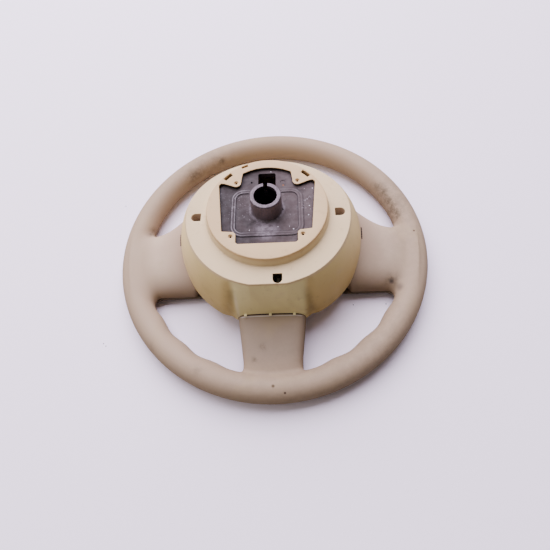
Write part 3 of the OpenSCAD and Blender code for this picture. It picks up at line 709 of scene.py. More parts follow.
@dataclass(frozen=True)
class RearCover:
    """The moulded cover: a raised disc on a flange, and a skirt that bulges down to the spokes."""

    # Distances from the axis between which the edge over a spoke is searched
    search: tuple[float, float] = (82.0, 125.0)
    # Radius at which angles are unrolled to lengths
    unroll: float = 100.0
    # To how many points on each side the angles of the flange's edge are evened
    evening: int = 30
    # Rows of faces down the outside and up the inside
    rows_down: int = 57
    rows_up: int = 24
    flange_edge: float = 0.9
    seam_edge: float = 0.6
    hole_edge: float = 0.45
    screw_edge: float = 0.75
    lip_edge: float = 0.3
    foot_round: float = 1.6
    disc_edge: float = 1.3
    wall_lean: float = 1.8
    bulge_power: float = 2.4
    tuck_power: float = 1.25
    panel_blend: float = 1.4
    # The panel's half angle, and the angle at which the oval is whole again
    panel: tuple[float, float] = (math.radians(22.5), math.radians(28.0))
    # Angle, width and depth of the valley beside the panel, and how soon it fades up and down
    valley: tuple[float, float, float] = (math.radians(26.5), math.radians(3.2), 2.0)
    valley_fade: float = 14.0
    low_gap: float = 0.65
    # Place and length along a side arch as shares of its run, and extra width
    slit: tuple[float, float, float] = (0.40, 0.035, 0.6)
    # Place, half length and extra width in the lower seam
    notch: tuple[float, float, float] = (-0.7, 6.8, 0.9)
    # X of each nib that stands in the lower seam
    nibs: tuple[float, ...] = (-28.0, -1.0, 25.0)
    # Half width, start and end toward the hub, and height of a nib
    nib_size: tuple[float, float, float, float] = (1.4, -97.0, -92.6, 0.7)
    # Distance of the flat side and of the round side's centre from the axis, and half width
    release: tuple[float, float, float] = (72.2, 78.0, 4.75)
    release_down: float = 2.5
    release_low: tuple[float, float] = (2.8, 10.0)
    # The cut-out: radius at its top, rounding of its corners and radius round the upper screw holes
    cut_r: float = 53.3
    cut_round: float = 1.3
    tab_r: float = 5.4
    # Its corners, as steps from the upper and from the lower screw hole, but for the shoulder's X
    shoulder: tuple[float, float] = (27.8, 3.4)
    upper_corners: tuple[tuple[float, float], ...] = ((13.1, -0.4), (16.3, 0.0), (18.9, -2.2))
    lower_corners: tuple[tuple[float, float], ...] = (
        (9.7, 6.3), (-2.6, 5.1), (-5.1, 2.8), (-5.3, -7.7), (-7.4, -9.6))
    screw_core_r: float = 1.3
    screw_step: float = 1.5
    # Start and end angle of each slot, and how far inside the disc's edge its two sides lie
    slots: tuple[tuple[float, float, float, float], ...] = (
        (40.0, 50.0, 6.4, 2.2), (130.0, 140.0, 6.4, 2.2), (110.0, 117.0, 4.6, 1.9))

    def radius(self, phi: Array, z: Array) -> Array:
        """Distance from the axis to the skirt's outside.

        An oval widens from the flange to the skirt's widest line and then tucks in to the round front
        edge. Over the lower spoke it gives way to the panel that ends in a straight seam, with a shallow
        valley beside each edge of the panel.

        Args:
            phi: angles round the axis.
            z: levels.

        Returns:
            The distance at each angle and level.
        """
        s = np.clip((S.z_flange - z) / (S.z_flange - S.z_skirt), 0, 1)
        b = 1 - (1 - s) ** self.bulge_power
        tuck = np.clip((S.z_skirt - z) / (S.z_skirt - S.z_front), 0, 1) ** self.tuck_power
        across, low, top = (lerp(lerp(inner, wide, b), S.tuck_r, tuck) for inner, wide in (
            (S.flange_half, S.skirt_half), (S.flange_half, S.skirt_low), (S.flange_top, S.skirt_top)))
        oval = 1 / np.hypot(np.cos(phi) / across, np.sin(phi) / np.where(np.sin(phi) > 0, top, low))
        turn = np.abs((phi + math.pi / 2 + math.pi) % (2 * math.pi) - math.pi)
        start, end = self.panel
        near = np.minimum(turn, end)
        panel = oval
        for _ in range(4):
            x = panel * np.sin(near)
            edge = np.minimum(np.sqrt(S.flange_half**2 - x * x), S.flat_dist)
            share = (S.z_flange - z) / (S.z_flange - S.z_seam)
            panel = lerp(edge, S.flat_dist + S.flat_flare, share) / np.cos(near)
        whole = lerp(smooth_min(oval, panel, self.panel_blend), oval,
                     ease((turn - start) / (end - start)))
        place, width, depth = self.valley
        fall = ease((S.z_flange - z) / self.valley_fade) * ease((z - S.z_front) / self.valley_fade)
        return whole - depth * fall * np.exp(-(((turn - place) / width) ** 2))

    def at(self, phi: Array, z: Array, inset: Array | float = 0.0) -> Array:
        """Points on the skirt, or inside it by inset."""
        r = self.radius(phi, z) - inset
        return np.stack([r * np.cos(phi), r * np.sin(phi), np.broadcast_to(z, r.shape)], -1)

    def arch(self, lower: bool, n: int = 110) -> Array:
        """Edge of the opening over a spoke, as (angle, level) with the angle rising.

        The edge is where the skirt meets the spoke's dome, widened by the seam gap. Its distance from
        the axis is found by halving.

        Args:
            lower: whether it is the lower spoke, or else the right one.
            n: number of points.

        Returns:
            The points, evenly spaced along the edge.
        """
        run = np.linspace(1.0, 0.0, 900)
        t = math.pi * (0.5 - 0.5 * np.cos(math.pi * run))
        at, length, wide = self.slit
        gap = self.low_gap if lower else S.seam_gap + wide * np.exp(-(((run - at) / length) ** 4))

        def dome(r: Array) -> tuple[Array, Array]:
            """Points of the widened dome.

            Args:
                r: distance of each point from the axis.

            Returns:
                Their angles and levels.
            """
            bend = SPOKES.low_bend(r) if lower else 2 / SPOKES.side_power
            across = np.sign(np.cos(t)) * np.abs(np.cos(t)) ** bend
            up = np.abs(np.sin(t)) ** bend
            if lower:
                side = (SPOKES.low_half(r) + gap) * across
                place, width, more = self.notch
                rise = gap + more * np.exp(-(((side - place) / width) ** 8))
                z = S.z_front + SPOKES.low_height(r) * up + rise * np.sin(t)
                return np.arctan2(-np.sqrt(r * r - side * side), side), z
            low, high = SPOKES.side_edges(r)
            side = (low + high) / 2 + ((high - low) / 2 + gap) * across
            z = S.z_front + SPOKES.side_height(r, side) * up + gap * np.sin(t)
            return np.arctan2(side, np.sqrt(r * r - side * side)), z

        near, far = (np.full(t.size, r) for r in self.search)
        for _ in range(40):
            mid = (near + far) / 2
            outside = self.radius(*dome(mid)) < mid
            near, far = np.where(outside, near, mid), np.where(outside, mid, far)
        phi, z = dome(near)
        way = np.concatenate([[0.0], np.cumsum(np.hypot(np.diff(phi) * self.unroll, np.diff(z)))])
        even = np.linspace(0.0, way[-1], n)
        return np.column_stack([np.interp(even, way, phi), np.interp(even, way, z)])

    def edge(self) -> Array:
        """The skirt's whole edge as (angle, level), once round from the right spoke's lower side.

        Returns:
            Its points: the arches over the spokes, joined at the level of the front.
        """
        right, low = self.arch(False), self.arch(True)
        left = np.column_stack([math.pi - right[::-1, 0], right[::-1, 1]])
        low = low + [2 * math.pi, 0.0]

        def between(a: Array, b: Array) -> Array:
            """Points at the level of the front, about 2 degrees apart.

            Args:
                a: end of an arch, as (angle, level).
                b: start of the next one.

            Returns:
                The points between them, as (angle, level).
            """
            n = max(2, int(abs(b[0] - a[0]) / math.radians(2.0)))
            phi = np.linspace(a[0], b[0], n + 1)[1:-1]
            return np.column_stack([phi, np.full(len(phi), S.z_front)])

        again = right[0] + [2 * math.pi, 0.0]
        parts = [right, between(right[-1], left[0]), left, between(left[-1], low[0]), low,
                 between(low[-1], again)]
        whole = np.concatenate(parts)
        keep = np.ones(len(whole), bool)
        least = 0.05
        keep[1:] = np.abs(np.diff(whole, axis=0) * [self.unroll, 1.0]).sum(1) > least
        return whole[keep]

    def cut_out(self) -> Array:
        """Outline of the opening in the disc over the hub plate.

        Returns:
            Its points: the right half from the top down, and its mirror image.
        """
        (ux, uy), (lx, ly) = S.upper_tab, S.lower_tab
        x, y = self.shoulder
        half = arc(0, 0, self.cut_r, 89.0, 60.2, 6) + [(x, uy + y)] + arc(ux, uy, self.tab_r, 195, 290, 8)
        half += [(ux + x, uy + y) for x, y in self.upper_corners]
        half += [(lx + x, ly + y) for x, y in self.lower_corners]
        whole = half + [(-x, y) for x, y in half[::-1]]
        return turning_left(rounded(whole, self.cut_round))

    @staticmethod
    def slot_outline(r0: float, r1: float, start: float, end: float) -> Array:
        """Outline of a slot between two radii and two angles."""
        return turning_left(rounded(arc(0, 0, r0, start, end, 4) + arc(0, 0, r1, end, start, 4), 0.5))

    def release_holes(self) -> list[Array]:
        """Outlines of the three D-shaped release holes in the flange.

        Returns:
            The right, the left and the lower hole.
        """
        flat, middle, half = self.release
        shape = rounded([(flat, -half), *arc(middle, 0, half, -90, 90, 14), (flat, half)], 0.5, 3)
        right = shape - [0, self.release_down]
        lower = shape + self.release_low
        return [turning_left(o) for o in
                (right, right * [-1, 1], np.column_stack([lower[:, 1], -lower[:, 0]]))]

    def skirt(self, made: Surface) -> tuple[Array, Array]:
        """Adds the skirt, outside and inside.

        It is a sheet of rows, each a share of the way from the flange's rounded edge to the seam's
        edge, which is rounded too, and back up its inside to the flange's under side.

        Args:
            made: the cover's surface.

        Returns:
            Outlines of the flange's upper face and of its under side.
        """
        edge = self.edge()
        n = len(edge)
        # The seam's edge turns unevenly round the axis, so the flange's edge gets its angles evened
        steady = edge[:, 0] - 2 * math.pi * np.arange(n) / n
        kernel = np.hanning(2 * self.evening + 1)
        kernel /= kernel.sum()
        padded = np.concatenate([steady[-self.evening:], steady, steady[:self.evening]])
        top = np.convolve(padded, kernel, "valid") + 2 * math.pi * np.arange(n) / n

        z0 = S.z_flange
        # The flange's edge is an arc that turns by the angle between flange and skirt
        dip = 0.5
        r0 = self.radius(top, np.full(n, z0))
        slope = (self.radius(top, np.full(n, z0 - dip)) - r0) / dip
        turn = math.pi / 2 - np.arctan(slope)
        tangent = self.flange_edge * np.tan(turn / 2)
        rows = []
        for share in np.linspace(0, 1, 7):
            a = turn * share
            r = r0 - tangent + self.flange_edge * np.sin(a)
            z = z0 - self.flange_edge * (1 - np.cos(a))
            rows.append(np.stack([r * np.cos(top), r * np.sin(top), z], -1))

        # Direction from the seam's edge into the skirt, across the unrolled edge
        flat = np.column_stack([edge[:, 0] * self.unroll, edge[:, 1]])
        once_round = 2 * math.pi * self.unroll
        ahead = np.roll(flat, -1, 0)
        ahead[-1, 0] += once_round
        behind = np.roll(flat, 1, 0)
        behind[0, 0] -= once_round
        along = ahead - behind
        along /= np.maximum(np.linalg.norm(along, axis=1, keepdims=True), 1e-9)
        inward = np.column_stack([-along[:, 1] / self.unroll, along[:, 0]])

        start_z = z0 - self.flange_edge * (1 - np.cos(turn))
        held = edge + inward * self.seam_edge
        for share in np.linspace(0, 1, self.rows_down + 1)[1:]:
            phi = lerp(top, held[:, 0], share)
            rows.append(self.at(phi, lerp(start_z, held[:, 1], share)))
        for a in np.radians([30, 60, 90]):
            at = edge + inward * self.seam_edge * (1 - math.sin(a))
            rows.append(self.at(at[:, 0], at[:, 1], self.seam_edge * (1 - math.cos(a))))
        under = z0 - S.cover_t
        for share in np.linspace(0, 1, self.rows_up):
            phi, z = lerp(edge[:, 0], top, share), lerp(edge[:, 1], np.full(n, under), share)
            tuck = np.clip((S.z_skirt - z) / (S.z_skirt - S.z_front), 0, 1)
            rows.append(self.at(phi, z, lerp(S.skirt_t, S.tuck_wall, tuck)))
        made.grid(np.array(rows), closed=True)
        return rows[0][:, :2], rows[-1][:, :2]

    def flange(self, made: Surface, outline: Array, inner: Array) -> None:
        """Adds the flange's two flat faces, the release holes and the chutes under two of them.

        Args:
            made: the cover's surface.
            outline: outline of the upper face.
            inner: outline of the under side.
        """
        z0, under = S.z_flange, S.z_flange - S.cover_t
        holes = self.release_holes()
        chutes = [offset(o, S.chute_wall) for o in holes[:2]]
        edges = [offset(o, self.hole_edge) for o in holes]
        r_wall = S.disc_d / 2 + self.wall_lean
        least = 0.02
        spread = np.concatenate([[True], np.linalg.norm(np.diff(outline, axis=0), axis=1) > least])
        made.plate(outline[spread], [*edges, RING * (r_wall + self.foot_round)], z0)
        spread = np.concatenate([[True], np.linalg.norm(np.diff(inner, axis=0), axis=1) > least])
        made.plate(inner[spread], [*chutes, holes[2], RING * (r_wall - S.cover_t)], under, down=True)
        made.hole_wall(holes[2], z0, under, self.hole_edge)
        chute_z = under - S.chute_len
        for hole, chute in zip(holes, chutes):
            made.hole_wall(hole, z0, chute_z, self.hole_edge)
            made.grid(np.array([np.column_stack([chute, np.full(len(chute), z)])
                                for z in (under, chute_z)]), closed=True)
            made.plate(chute, [hole], chute_z, down=True)

    def disc_wall(self, made: Surface) -> None:
        """Adds the leaning wall from the flange to the disc, rounded at foot and top, and its inside.

        Args:
            made: the cover's surface.
        """
        z0 = S.z_flange
        r_disc, r_wall = S.disc_d / 2, S.disc_d / 2 + self.wall_lean
        foot = [(r_wall + self.foot_round * (1 - math.sin(a)), z0 + self.foot_round * (1 - math.cos(a)))
                for a in np.radians(np.linspace(0, 80, 6))]
        rim = [(r_disc - self.disc_edge * (1 - math.cos(a)),
                S.z_disc - self.disc_edge * (1 - math.sin(a))) for a in np.radians(np.linspace(10, 90, 7))]
        wall = list(zip(np.linspace(foot[-1][0], rim[0][0], 5)[1:-1],
                        np.linspace(foot[-1][1], rim[0][1], 5)[1:-1]))
        made.lathe([*foot, *wall, *rim])
        made.lathe([(r_disc - S.cover_t, S.z_disc - S.cover_t), (r_wall - S.cover_t, z0 - S.cover_t)])

    def disc(self, made: Surface) -> None:
        """Adds the disc's two flat faces with the cut-out and its lip, the slots and the screw holes.

        Args:
            made: the cover's surface.
        """
        r_disc, low_disc = S.disc_d / 2, S.z_disc - S.cover_t
        screws = [np.array(arc(side * x, y, S.screw_hole_d / 2, 0, 360, 28)[:-1])
                  for x, y in (S.upper_tab, S.lower_tab) for side in (1, -1)]
        cores = [np.array(arc(side * x, y, self.screw_core_r, 0, 360, 28)[:-1])
                 for x, y in (S.upper_tab, S.lower_tab) for side in (1, -1)]
        slots = [self.slot_outline(r_disc - deep, r_disc - near, start, end)
                 for start, end, deep, near in self.slots]
        cut = self.cut_out()
        wide = offset(cut, S.lip_w)
        made.hole_wall(cut, S.z_disc, S.z_disc - S.lip_t, self.lip_edge)
        made.plate(wide, [cut], S.z_disc - S.lip_t, down=True)
        made.grid(np.array([np.column_stack([wide, np.full(len(wide), z)])
                            for z in (S.z_disc - S.lip_t, low_disc)]), closed=True, flip=True)
        tops = [offset(cut, self.lip_edge)]
        for slot in slots:
            made.hole_wall(slot, S.z_disc, low_disc, self.hole_edge)
            tops.append(offset(slot, self.hole_edge))
        step = S.z_disc - self.screw_step
        for screw, core in zip(screws, cores):
            made.hole_wall(screw, S.z_disc, step, self.screw_edge)
            made.plate(screw, [core], step)
            made.hole_wall(core, step, low_disc, 0.0)
            tops.append(offset(screw, self.screw_edge))
        made.plate(RING * (r_disc - self.disc_edge), tops, S.z_disc)
        made.plate(RING * (r_disc - S.cover_t), [wide, *slots, *cores], low_disc, down=True)

    def build(self) -> bpy.types.Object:
        """Makes the cover from its skirt, flange, wall and disc, with the nibs in its lower seam.

        Returns:
            The cover.
        """
        made = Surface("hub_cover")
        self.flange(made, *self.skirt(made))
        self.disc_wall(made)
        self.disc(made)
        half, front, back, height = self.nib_size
        for x in self.nibs:
            made.box((x - half, front, S.z_seam), (x + half, back, S.z_seam + height))
        return made.build(32.0)

    def dress(self, piece: bpy.types.Object, wheel: "Wheel") -> None:
        """Stores the cover's painted shade and darker patches and gives it its finish."""
        soil_and_shade(piece, COVER_SHADE_AND_PATCHES)
        wheel.stand_in(piece, "rear_cover", Body.WHEEL)


# Horn pad and horn springs


@dataclass(frozen=True)
class HornPad:
    """The horn pad's cover: a crowned face with a rounded rim, and its back wall."""

    rim_round: float = 3.0
    rim_depth: float = 9.0
    rim_wall: float = 2.5
    rim_cut: float = 0.6
    step_depth: float = 4.0
    wall_top: float = -89.8

    def dome(self, r: float) -> float:
        """Level of the face, which rises with the square of the distance from the axis."""
        return S.z_pad + S.pad_crown * (r / S.pad_r) ** 2

    def build(self) -> bpy.types.Object:
        """Makes the pad by turning one profile, from the middle of its face round to its inside.

        Returns:
            The pad.
        """
        made = Surface("pad_shell")
        bend = self.rim_round
        face = [(r, self.dome(r)) for r in np.linspace(0.0, S.pad_r - bend, 30)]
        rim = [(S.pad_r - bend + bend * math.cos(a), self.dome(S.pad_r) + bend + bend * math.sin(a))
               for a in np.radians(np.linspace(-80, 0, 8))]
        top, inner = S.z_pad + self.rim_depth, S.pad_wall_r - S.pad_t
        low = S.z_pad + S.pad_crown + self.step_depth
        back = [(S.pad_r, top - self.rim_cut), (S.pad_r - self.rim_cut, top),
                (S.pad_r - self.rim_wall, top), (S.pad_r - self.rim_wall, low), (S.pad_wall_r, low),
                (S.pad_wall_r, self.wall_top), (inner, self.wall_top), (inner, low)]
        hollow = [(r, self.dome(r) + S.pad_t) for r in np.linspace(inner - 1, 0.0, 12)]
        made.lathe([*face, *rim, *back, *hollow], 180)
        return made.build(35.0)

    def dress(self, piece: bpy.types.Object, wheel: "Wheel") -> None:
        """Gives the pad its finish and its place on the module."""
        wheel.stand_in(piece, "pad_cover", Body.PAD_MODULE)


@dataclass(frozen=True)
class HornSpring:
    """A horn spring of round wire with closed ends, in the place of its CAD node."""

    wire: float = 1.4
    turns: int = 5
    closing: float = 1.15

    def build(self, name: str, box: tuple[Vector, Vector]) -> bpy.types.Object:
        """Makes the spring: a round section carried along a helix.

        The helix climbs by a power of the share of its length, counted from the nearer end, so that
        its turns lie closer at both ends.

        Args:
            name: name of the object.
            box: lowest and highest corner of the CAD spring, in metres.

        Returns:
            The spring.
        """
        low, high = (np.array(c) / MM for c in box)
        middle = (low + high) / 2
        radius = (high[0] - low[0]) / 2 - self.wire / 2
        s = np.linspace(0.0, 1.0, self.turns * 36 + 1)
        a = 2 * math.pi * self.turns * s
        rise = high[2] - low[2] - self.wire
        climb = np.where(s < 0.5, (2 * s) ** self.closing / 2, 1 - (2 - 2 * s) ** self.closing / 2)
        level = low[2] + self.wire / 2 + rise * climb
        b = np.linspace(0.0, 2 * math.pi, 10, endpoint=False)
        r = radius + self.wire / 2 * np.cos(b)[None]
        rows = np.stack([middle[0] + r * np.cos(a)[:, None], middle[1] + r * np.sin(a)[:, None],
                         level[:, None] + self.wire / 2 * np.sin(b)[None]], -1)
        made = Surface(name)
        made.grid(rows, closed=True)
        made.add(rows[0], [range(len(b))[::-1]])
        made.add(rows[-1], [range(len(b))])
        return made.build()

    def dress(self, piece: bpy.types.Object, side: Side, wheel: "Wheel") -> None:
        """Gives the spring its finish and its place on the wheel."""
        wheel.stand_in(piece, f"horn_spring_{side.value}", Body.WHEEL)


# Nodes


def srgb(code: str) -> tuple[float, float, float, float]:
    """A linear colour from a hex code such as 'c8b9a6'.

    Args:
        code: red, green and blue in sRGB, two hex digits each.

    Returns:
        Linear red, green and blue, and an alpha of 1.
    """
    channels = [int(code[i:i + 2], 16) / 255 for i in (0, 2, 4)]
    linear = [c / 12.92 if c <= 0.04045 else ((c + 0.055) / 1.055) ** 2.4 for c in channels]
    return (*linear, 1.0)


def add_node(tree: bpy.types.NodeTree, kind: str, props: dict | None = None, **inputs: object) -> Node:
    """Adds a node with its settings and links.

    Args:
        tree: tree that the node goes into.
        kind: node type.
        props: properties of the node.
        inputs: values or sockets by input name, with _ for a space, or i and a number.

    Returns:
        The node.
    """
    node = tree.nodes.new(kind)
    for key, value in (props or {}).items():
        setattr(node, key, value)
    for key, value in inputs.items():
        by_number = key[0] == "i" and key[1:].isdigit()
        socket = node.inputs[int(key[1:])] if by_number else node.inputs[key.replace("_", " ")]
        if isinstance(value, Socket):
            tree.links.new(value, socket)
        else:
            socket.default_value = value
    return node


# A smooth ramp between two levels
RAMP = ("ShaderNodeMapRange", {"interpolation_type": "SMOOTHSTEP"})


@dataclass(frozen=True)
class Noise:
    """A random pattern: the size of its blotches in millimetres, its layers, their strength, how far
    it is warped, and its weight in a sum."""

    size: float
    detail: float = 3.0
    rough: float = 0.55
    warp: float = 0.0
    weight: float = 1.0


class Graph:
    """The nodes of one material. Its patterns are laid out in millimetres of the piece."""

    def __init__(self, name: str) -> None:
        """Starts an empty material that reads object coordinates.

        Args:
            name: name of the material.
        """
        self.material = bpy.data.materials.new(name)
        self.material.use_nodes = True
        self.tree = self.material.node_tree
        self.tree.nodes.clear()
        self.place = self.add("ShaderNodeTexCoord").outputs["Object"]
        self.axes = self.add("ShaderNodeSeparateXYZ", Vector=self.place).outputs

    def add(self, kind: str, props: dict | None = None, **inputs: object) -> Node:
        """Adds a node to this material."""
        return add_node(self.tree, kind, props, **inputs)

    def both(self, *shares: object) -> object:
        """Joins shares into one that is high only where all of them are: their product.

        Args:
            shares: sockets or numbers from 0 to 1.

        Returns:
            The product.
        """
        made = shares[0]
        for share in shares[1:]:
            made = self.add("ShaderNodeMath", {"operation": "MULTIPLY"}, i0=made, i1=share).outputs[0]
        return made

    def over(self, below: object, color: object, *shares: object) -> Socket:
        """Lays a colour over another one by the product of the shares.

        Args:
            below: colour below, as a hex code, a linear colour or a socket.
            color: colour on top, in the same forms.
            shares: sockets or numbers from 0 to 1.

        Returns:
            The colour.
        """
        lower, upper = (srgb(c) if isinstance(c, str) else c for c in (below, color))
        return self.add("ShaderNodeMix", {"data_type": "RGBA"}, i0=self.both(*shares), i6=lower,
                        i7=upper).outputs[2]

    def noise(self, *patterns: Noise) -> Socket:
        """Sum of random patterns, each times its weight.

        Args:
            patterns: the patterns.

        Returns:
            The sum, about half the weights on average.
        """
        total = 0.0
        for pattern in patterns:
            height = self.add("ShaderNodeTexNoise", Vector=self.place, Scale=1000.0 / pattern.size,
                              Detail=pattern.detail, Roughness=pattern.rough,
                              Distortion=pattern.warp).outputs["Fac"]
            total = self.add("ShaderNodeMath", {"operation": "MULTIPLY_ADD"}, i0=height,
                             i1=pattern.weight, i2=total).outputs[0]
        return total

    def mottle(self, pattern: Noise, low: float, high: float, start: float = 0.0,
               end: float = 1.0) -> Socket:
        """A share that changes in random blotches.

        Args:
            pattern: the pattern of the blotches.
            low: value of the pattern up to which the share is start.
            high: value of the pattern from which the share is end.
            start: the one share.
            end: the other share.

        Returns:
            The share.
        """
        return self.add(*RAMP, Value=self.noise(pattern), From_Min=low, From_Max=high, To_Min=start,
                        To_Max=end).outputs[0]

    def along(self, axis: str, low: float, high: float, start: float = 0.0, end: float = 1.0,
              mirrored: bool = False) -> Socket:
        """A share that changes along an axis.

        Args:
            axis: name of the axis.
            low: place in millimetres up to which the share is start.
            high: place from which it is end.
            start: the one share.
            end: the other share.
            mirrored: whether both directions of the axis count alike.

        Returns:
            The share.
        """
        value = self.axes[axis]
        if mirrored:
            value = self.add("ShaderNodeMath", {"operation": "ABSOLUTE"}, i0=value).outputs[0]
        return self.add(*RAMP, Value=value, From_Min=low * MM, From_Max=high * MM, To_Min=start,
                        To_Max=end).outputs[0]

    def around(self, low: float, high: float, start: float = 0.0, end: float = 1.0, x: float = 0.0,
               y: float = 0.0) -> Socket:
        """A share that changes with the distance from a point, seen along Z.

        Args:
            low: distance in millimetres up to which the share is start.
            high: distance from which it is end.
            start: the one share.
            end: the other share.
            x: first coordinate of the point.
            y: second coordinate of the point.

        Returns:
            The share.
        """
        flat = self.add("ShaderNodeVectorMath", {"operation": "MULTIPLY"}, i0=self.place,
                        i1=(1.0, 1.0, 0.0)).outputs[0]
        away = self.add("ShaderNodeVectorMath", {"operation": "DISTANCE"}, i0=flat,
                        i1=(x * MM, y * MM, 0.0)).outputs["Value"]
        return self.add(*RAMP, Value=away, From_Min=low * MM, From_Max=high * MM, To_Min=start,
                        To_Max=end).outputs[0]

    def spot(self, x: float, y: float, z: float, radius: float, soft: float = 0.5,
             ragged: float = 0.0) -> Socket:
        """A spot on the piece.

        Args:
            x: first coordinate of its middle, in millimetres.
            y: second coordinate.
            z: third coordinate.
            radius: its radius.
            soft: share of the radius over which it fades.
            ragged: how uneven its edge is.

        Returns:
            1 in its middle, falling to 0 at its radius.
        """
        away = self.add("ShaderNodeVectorMath", {"operation": "DISTANCE"}, i0=self.place,
                        i1=(x * MM, y * MM, z * MM)).outputs["Value"]
        if ragged:
            reach = ragged * radius * MM
            start = self.add("ShaderNodeMath", {"operation": "SUBTRACT"}, i0=away,
                             i1=0.5 * reach).outputs[0]
            away = self.add("ShaderNodeMath", {"operation": "MULTIPLY_ADD"},
                            i0=self.noise(Noise(3.84615, 4, 0.7)), i1=reach, i2=start).outputs[0]
        return self.add(*RAMP, Value=away, From_Min=radius * MM * (1 - soft), From_Max=radius * MM,
                        To_Min=1.0, To_Max=0.0).outputs[0]

    def outline(self, low: Sequence[float], high: Sequence[float], corner: float) -> Socket:
        """Distance in metres to a rounded rectangle seen along Z, negative inside.

        Args:
            low: lowest corner of the rectangle, in millimetres.
            high: highest corner.
            corner: radius of its corners.

        Returns:
            The distance.
        """
        middle = [(a + b) / 2 * MM for a, b in zip(low, high)] + [0.0]
        inner = [((b - a) / 2 - corner) * MM for a, b in zip(low, high)] + [1.0]
        away = self.place
        for operation, by in (("SUBTRACT", middle), ("ABSOLUTE", (0.0, 0.0, 0.0)),
                              ("SUBTRACT", inner), ("MAXIMUM", (0.0, 0.0, 0.0))):
            away = self.add("ShaderNodeVectorMath", {"operation": operation}, i0=away, i1=by).outputs[0]
        length = self.add("ShaderNodeVectorMath", {"operation": "LENGTH"}, i0=away).outputs["Value"]
        return self.add("ShaderNodeMath", {"operation": "SUBTRACT"}, i0=length,
                        i1=corner * MM).outputs[0]

    def line(self, value: Socket, at: float, width: float) -> Socket:
        """A line where a measure has a value.

        Args:
            value: the measure, in metres.
            at: its value on the line, in millimetres.
            width: half the width of the line.

        Returns:
            1 on the line, falling to 0 a width off.
        """
        past = self.add("ShaderNodeMath", {"operation": "SUBTRACT"}, i0=value, i1=at * MM).outputs[0]
        off = self.add("ShaderNodeMath", {"operation": "ABSOLUTE"}, i0=past).outputs[0]
        return self.add(*RAMP, Value=off, From_Min=0.0, From_Max=width * MM, To_Min=1.0,
                        To_Max=0.0).outputs[0]

    def corner_shade(self, reach: float) -> Socket:
        """A share that is high in corners, for painted shade.

        Args:
            reach: distance in millimetres within which other faces count.

        Returns:
            0 in the open, rising to 1 in deep corners.
        """
        light = self.add("ShaderNodeAmbientOcclusion", {"samples": 6}, Distance=reach * MM)
        return self.add("ShaderNodeMath", {"operation": "SUBTRACT"}, i0=1.0,
                        i1=light.outputs["AO"]).outputs[0]

    def finish(self, color: object, rough: object, metal: object = 0.0, specular: object = 0.5,
               relief: Socket | None = None, depth: float = 0.0, edge: float = 0.0) -> bpy.types.Material:
        """Adds the shader.

        Args:
            color: base colour.
            rough: roughness.
            metal: metallic share.
            specular: strength of the reflection of a plastic.
            relief: height for the bump, or None.
            depth: depth of the bump in millimetres.
            edge: radius in millimetres by which edges look rounded.

        Returns:
            The material.
        """
        normal = {}
        if edge:
            normal = {"Normal": self.add("ShaderNodeBevel", {"samples": 4}, Radius=edge * MM).outputs[0]}
        if relief is not None:
            bump = self.add("ShaderNodeBump", Height=relief, Strength=1.0, Distance=depth * MM, **normal)
            normal = {"Normal": bump.outputs[0]}
        shader = self.add("ShaderNodeBsdfPrincipled", Base_Color=color, Roughness=rough,
                          Metallic=metal, Specular_IOR_Level=specular, **normal)
        self.add("ShaderNodeOutputMaterial", Surface=shader.outputs[0])
        return self.material


# Stains and marks


@dataclass(frozen=True)
class DarkPatch:
    """A darker patch, dirt in some places and painted shade in others: its place and size in
    millimetres, and how dark and how drawn out it is.
    """

    x: float
    y: float
    z: float
    size: float
    dark: float
    along: float = 1.0


@dataclass(frozen=True)
class Mark:
    """A mark on the foam: its place and radius in millimetres, its soft share and its colour."""

    x: float
    y: float
    z: float
    radius: float
    soft: float
    code: str


# Dirt where hands rub, and as painted shade the three broad patches 60 to 70 mm across that darken the
# lower right, the right and the bottom of the rim
FOAM_DIRT_AND_SHADE = (
    DarkPatch(-154.2, 26.1, -101.7, 5, 0.75, 1.6), DarkPatch(-151.4, 34.8, -105.9, 4, 0.60),
    DarkPatch(-68.2, 142.0, -100.4, 5, 0.70), DarkPatch(-103.8, 118.1, -100.9, 7, 0.60, 1.5),
    DarkPatch(-88.0, 130.0, -98.0, 26, 0.34, 1.8), DarkPatch(147.0, 62.0, -100.0, 24, 0.42, 1.6),
    DarkPatch(148.3, 45.3, -108.0, 7, 0.75), DarkPatch(139.4, 77.4, -97.8, 5, 0.85, 2.4),
    DarkPatch(146.4, 61.7, -98.5, 5, 0.80, 2.2), DarkPatch(153.6, 41.1, -98.3, 5, 0.85, 2.2),
    DarkPatch(169.6, 10.5, -92.5, 1.6, 0.95), DarkPatch(136.4, -51.3, -98.7, 7, 0.85, 1.3),
    DarkPatch(131.0, -62.0, -101.0, 4, 0.60), DarkPatch(127.0, -74.0, -104.0, 8, 0.40),
    DarkPatch(-9.7, -128.4, -94.0, 3.5, 0.6), DarkPatch(-18.4, -141.2, -97.9, 3.5, 0.55),
    DarkPatch(120.0, -130.0, -98.0, 70, 0.22), DarkPatch(170.0, 10.0, -98.0, 60, 0.16),
    DarkPatch(0.0, -180.0, -98.0, 60, 0.16, 1.5), DarkPatch(-133.2, -123.2, -98.8, 6, 0.30),
    DarkPatch(-78.8, -151.9, -93.1, 6, 0.30),
)
# Painted shade in the valleys beside the panel, and two darker patches low on the skirt
COVER_SHADE_AND_PATCHES = tuple(DarkPatch(side * (37 + 0.13 * down), -84 - 0.13 * down, -31.0 - down, 4.6, 0.34)
                     for side in (-1, 1) for down in range(16, 60, 5)) + (
    DarkPatch(45.0, -96.0, -84.0, 12, 0.22), DarkPatch(-66.0, -72.0, -60.0, 12, 0.15))
FOAM_MARKS = (
    Mark(169.5, 10.2, -92.3, 1.5, 0.6, "4a2c1c"), Mark(136.5, -52.1, -99.7, 4.5, 0.9, "4f443c"),
    Mark(144.7, -60.3, -99.1, 7.0, 0.95, "7d6b5b"), Mark(0.9, -170.6, -93.0, 2.6, 0.8, "54422a"),
    Mark(12.9, -177.4, -95.4, 1.8, 0.7, "3f2f26"),
)


# Finishes


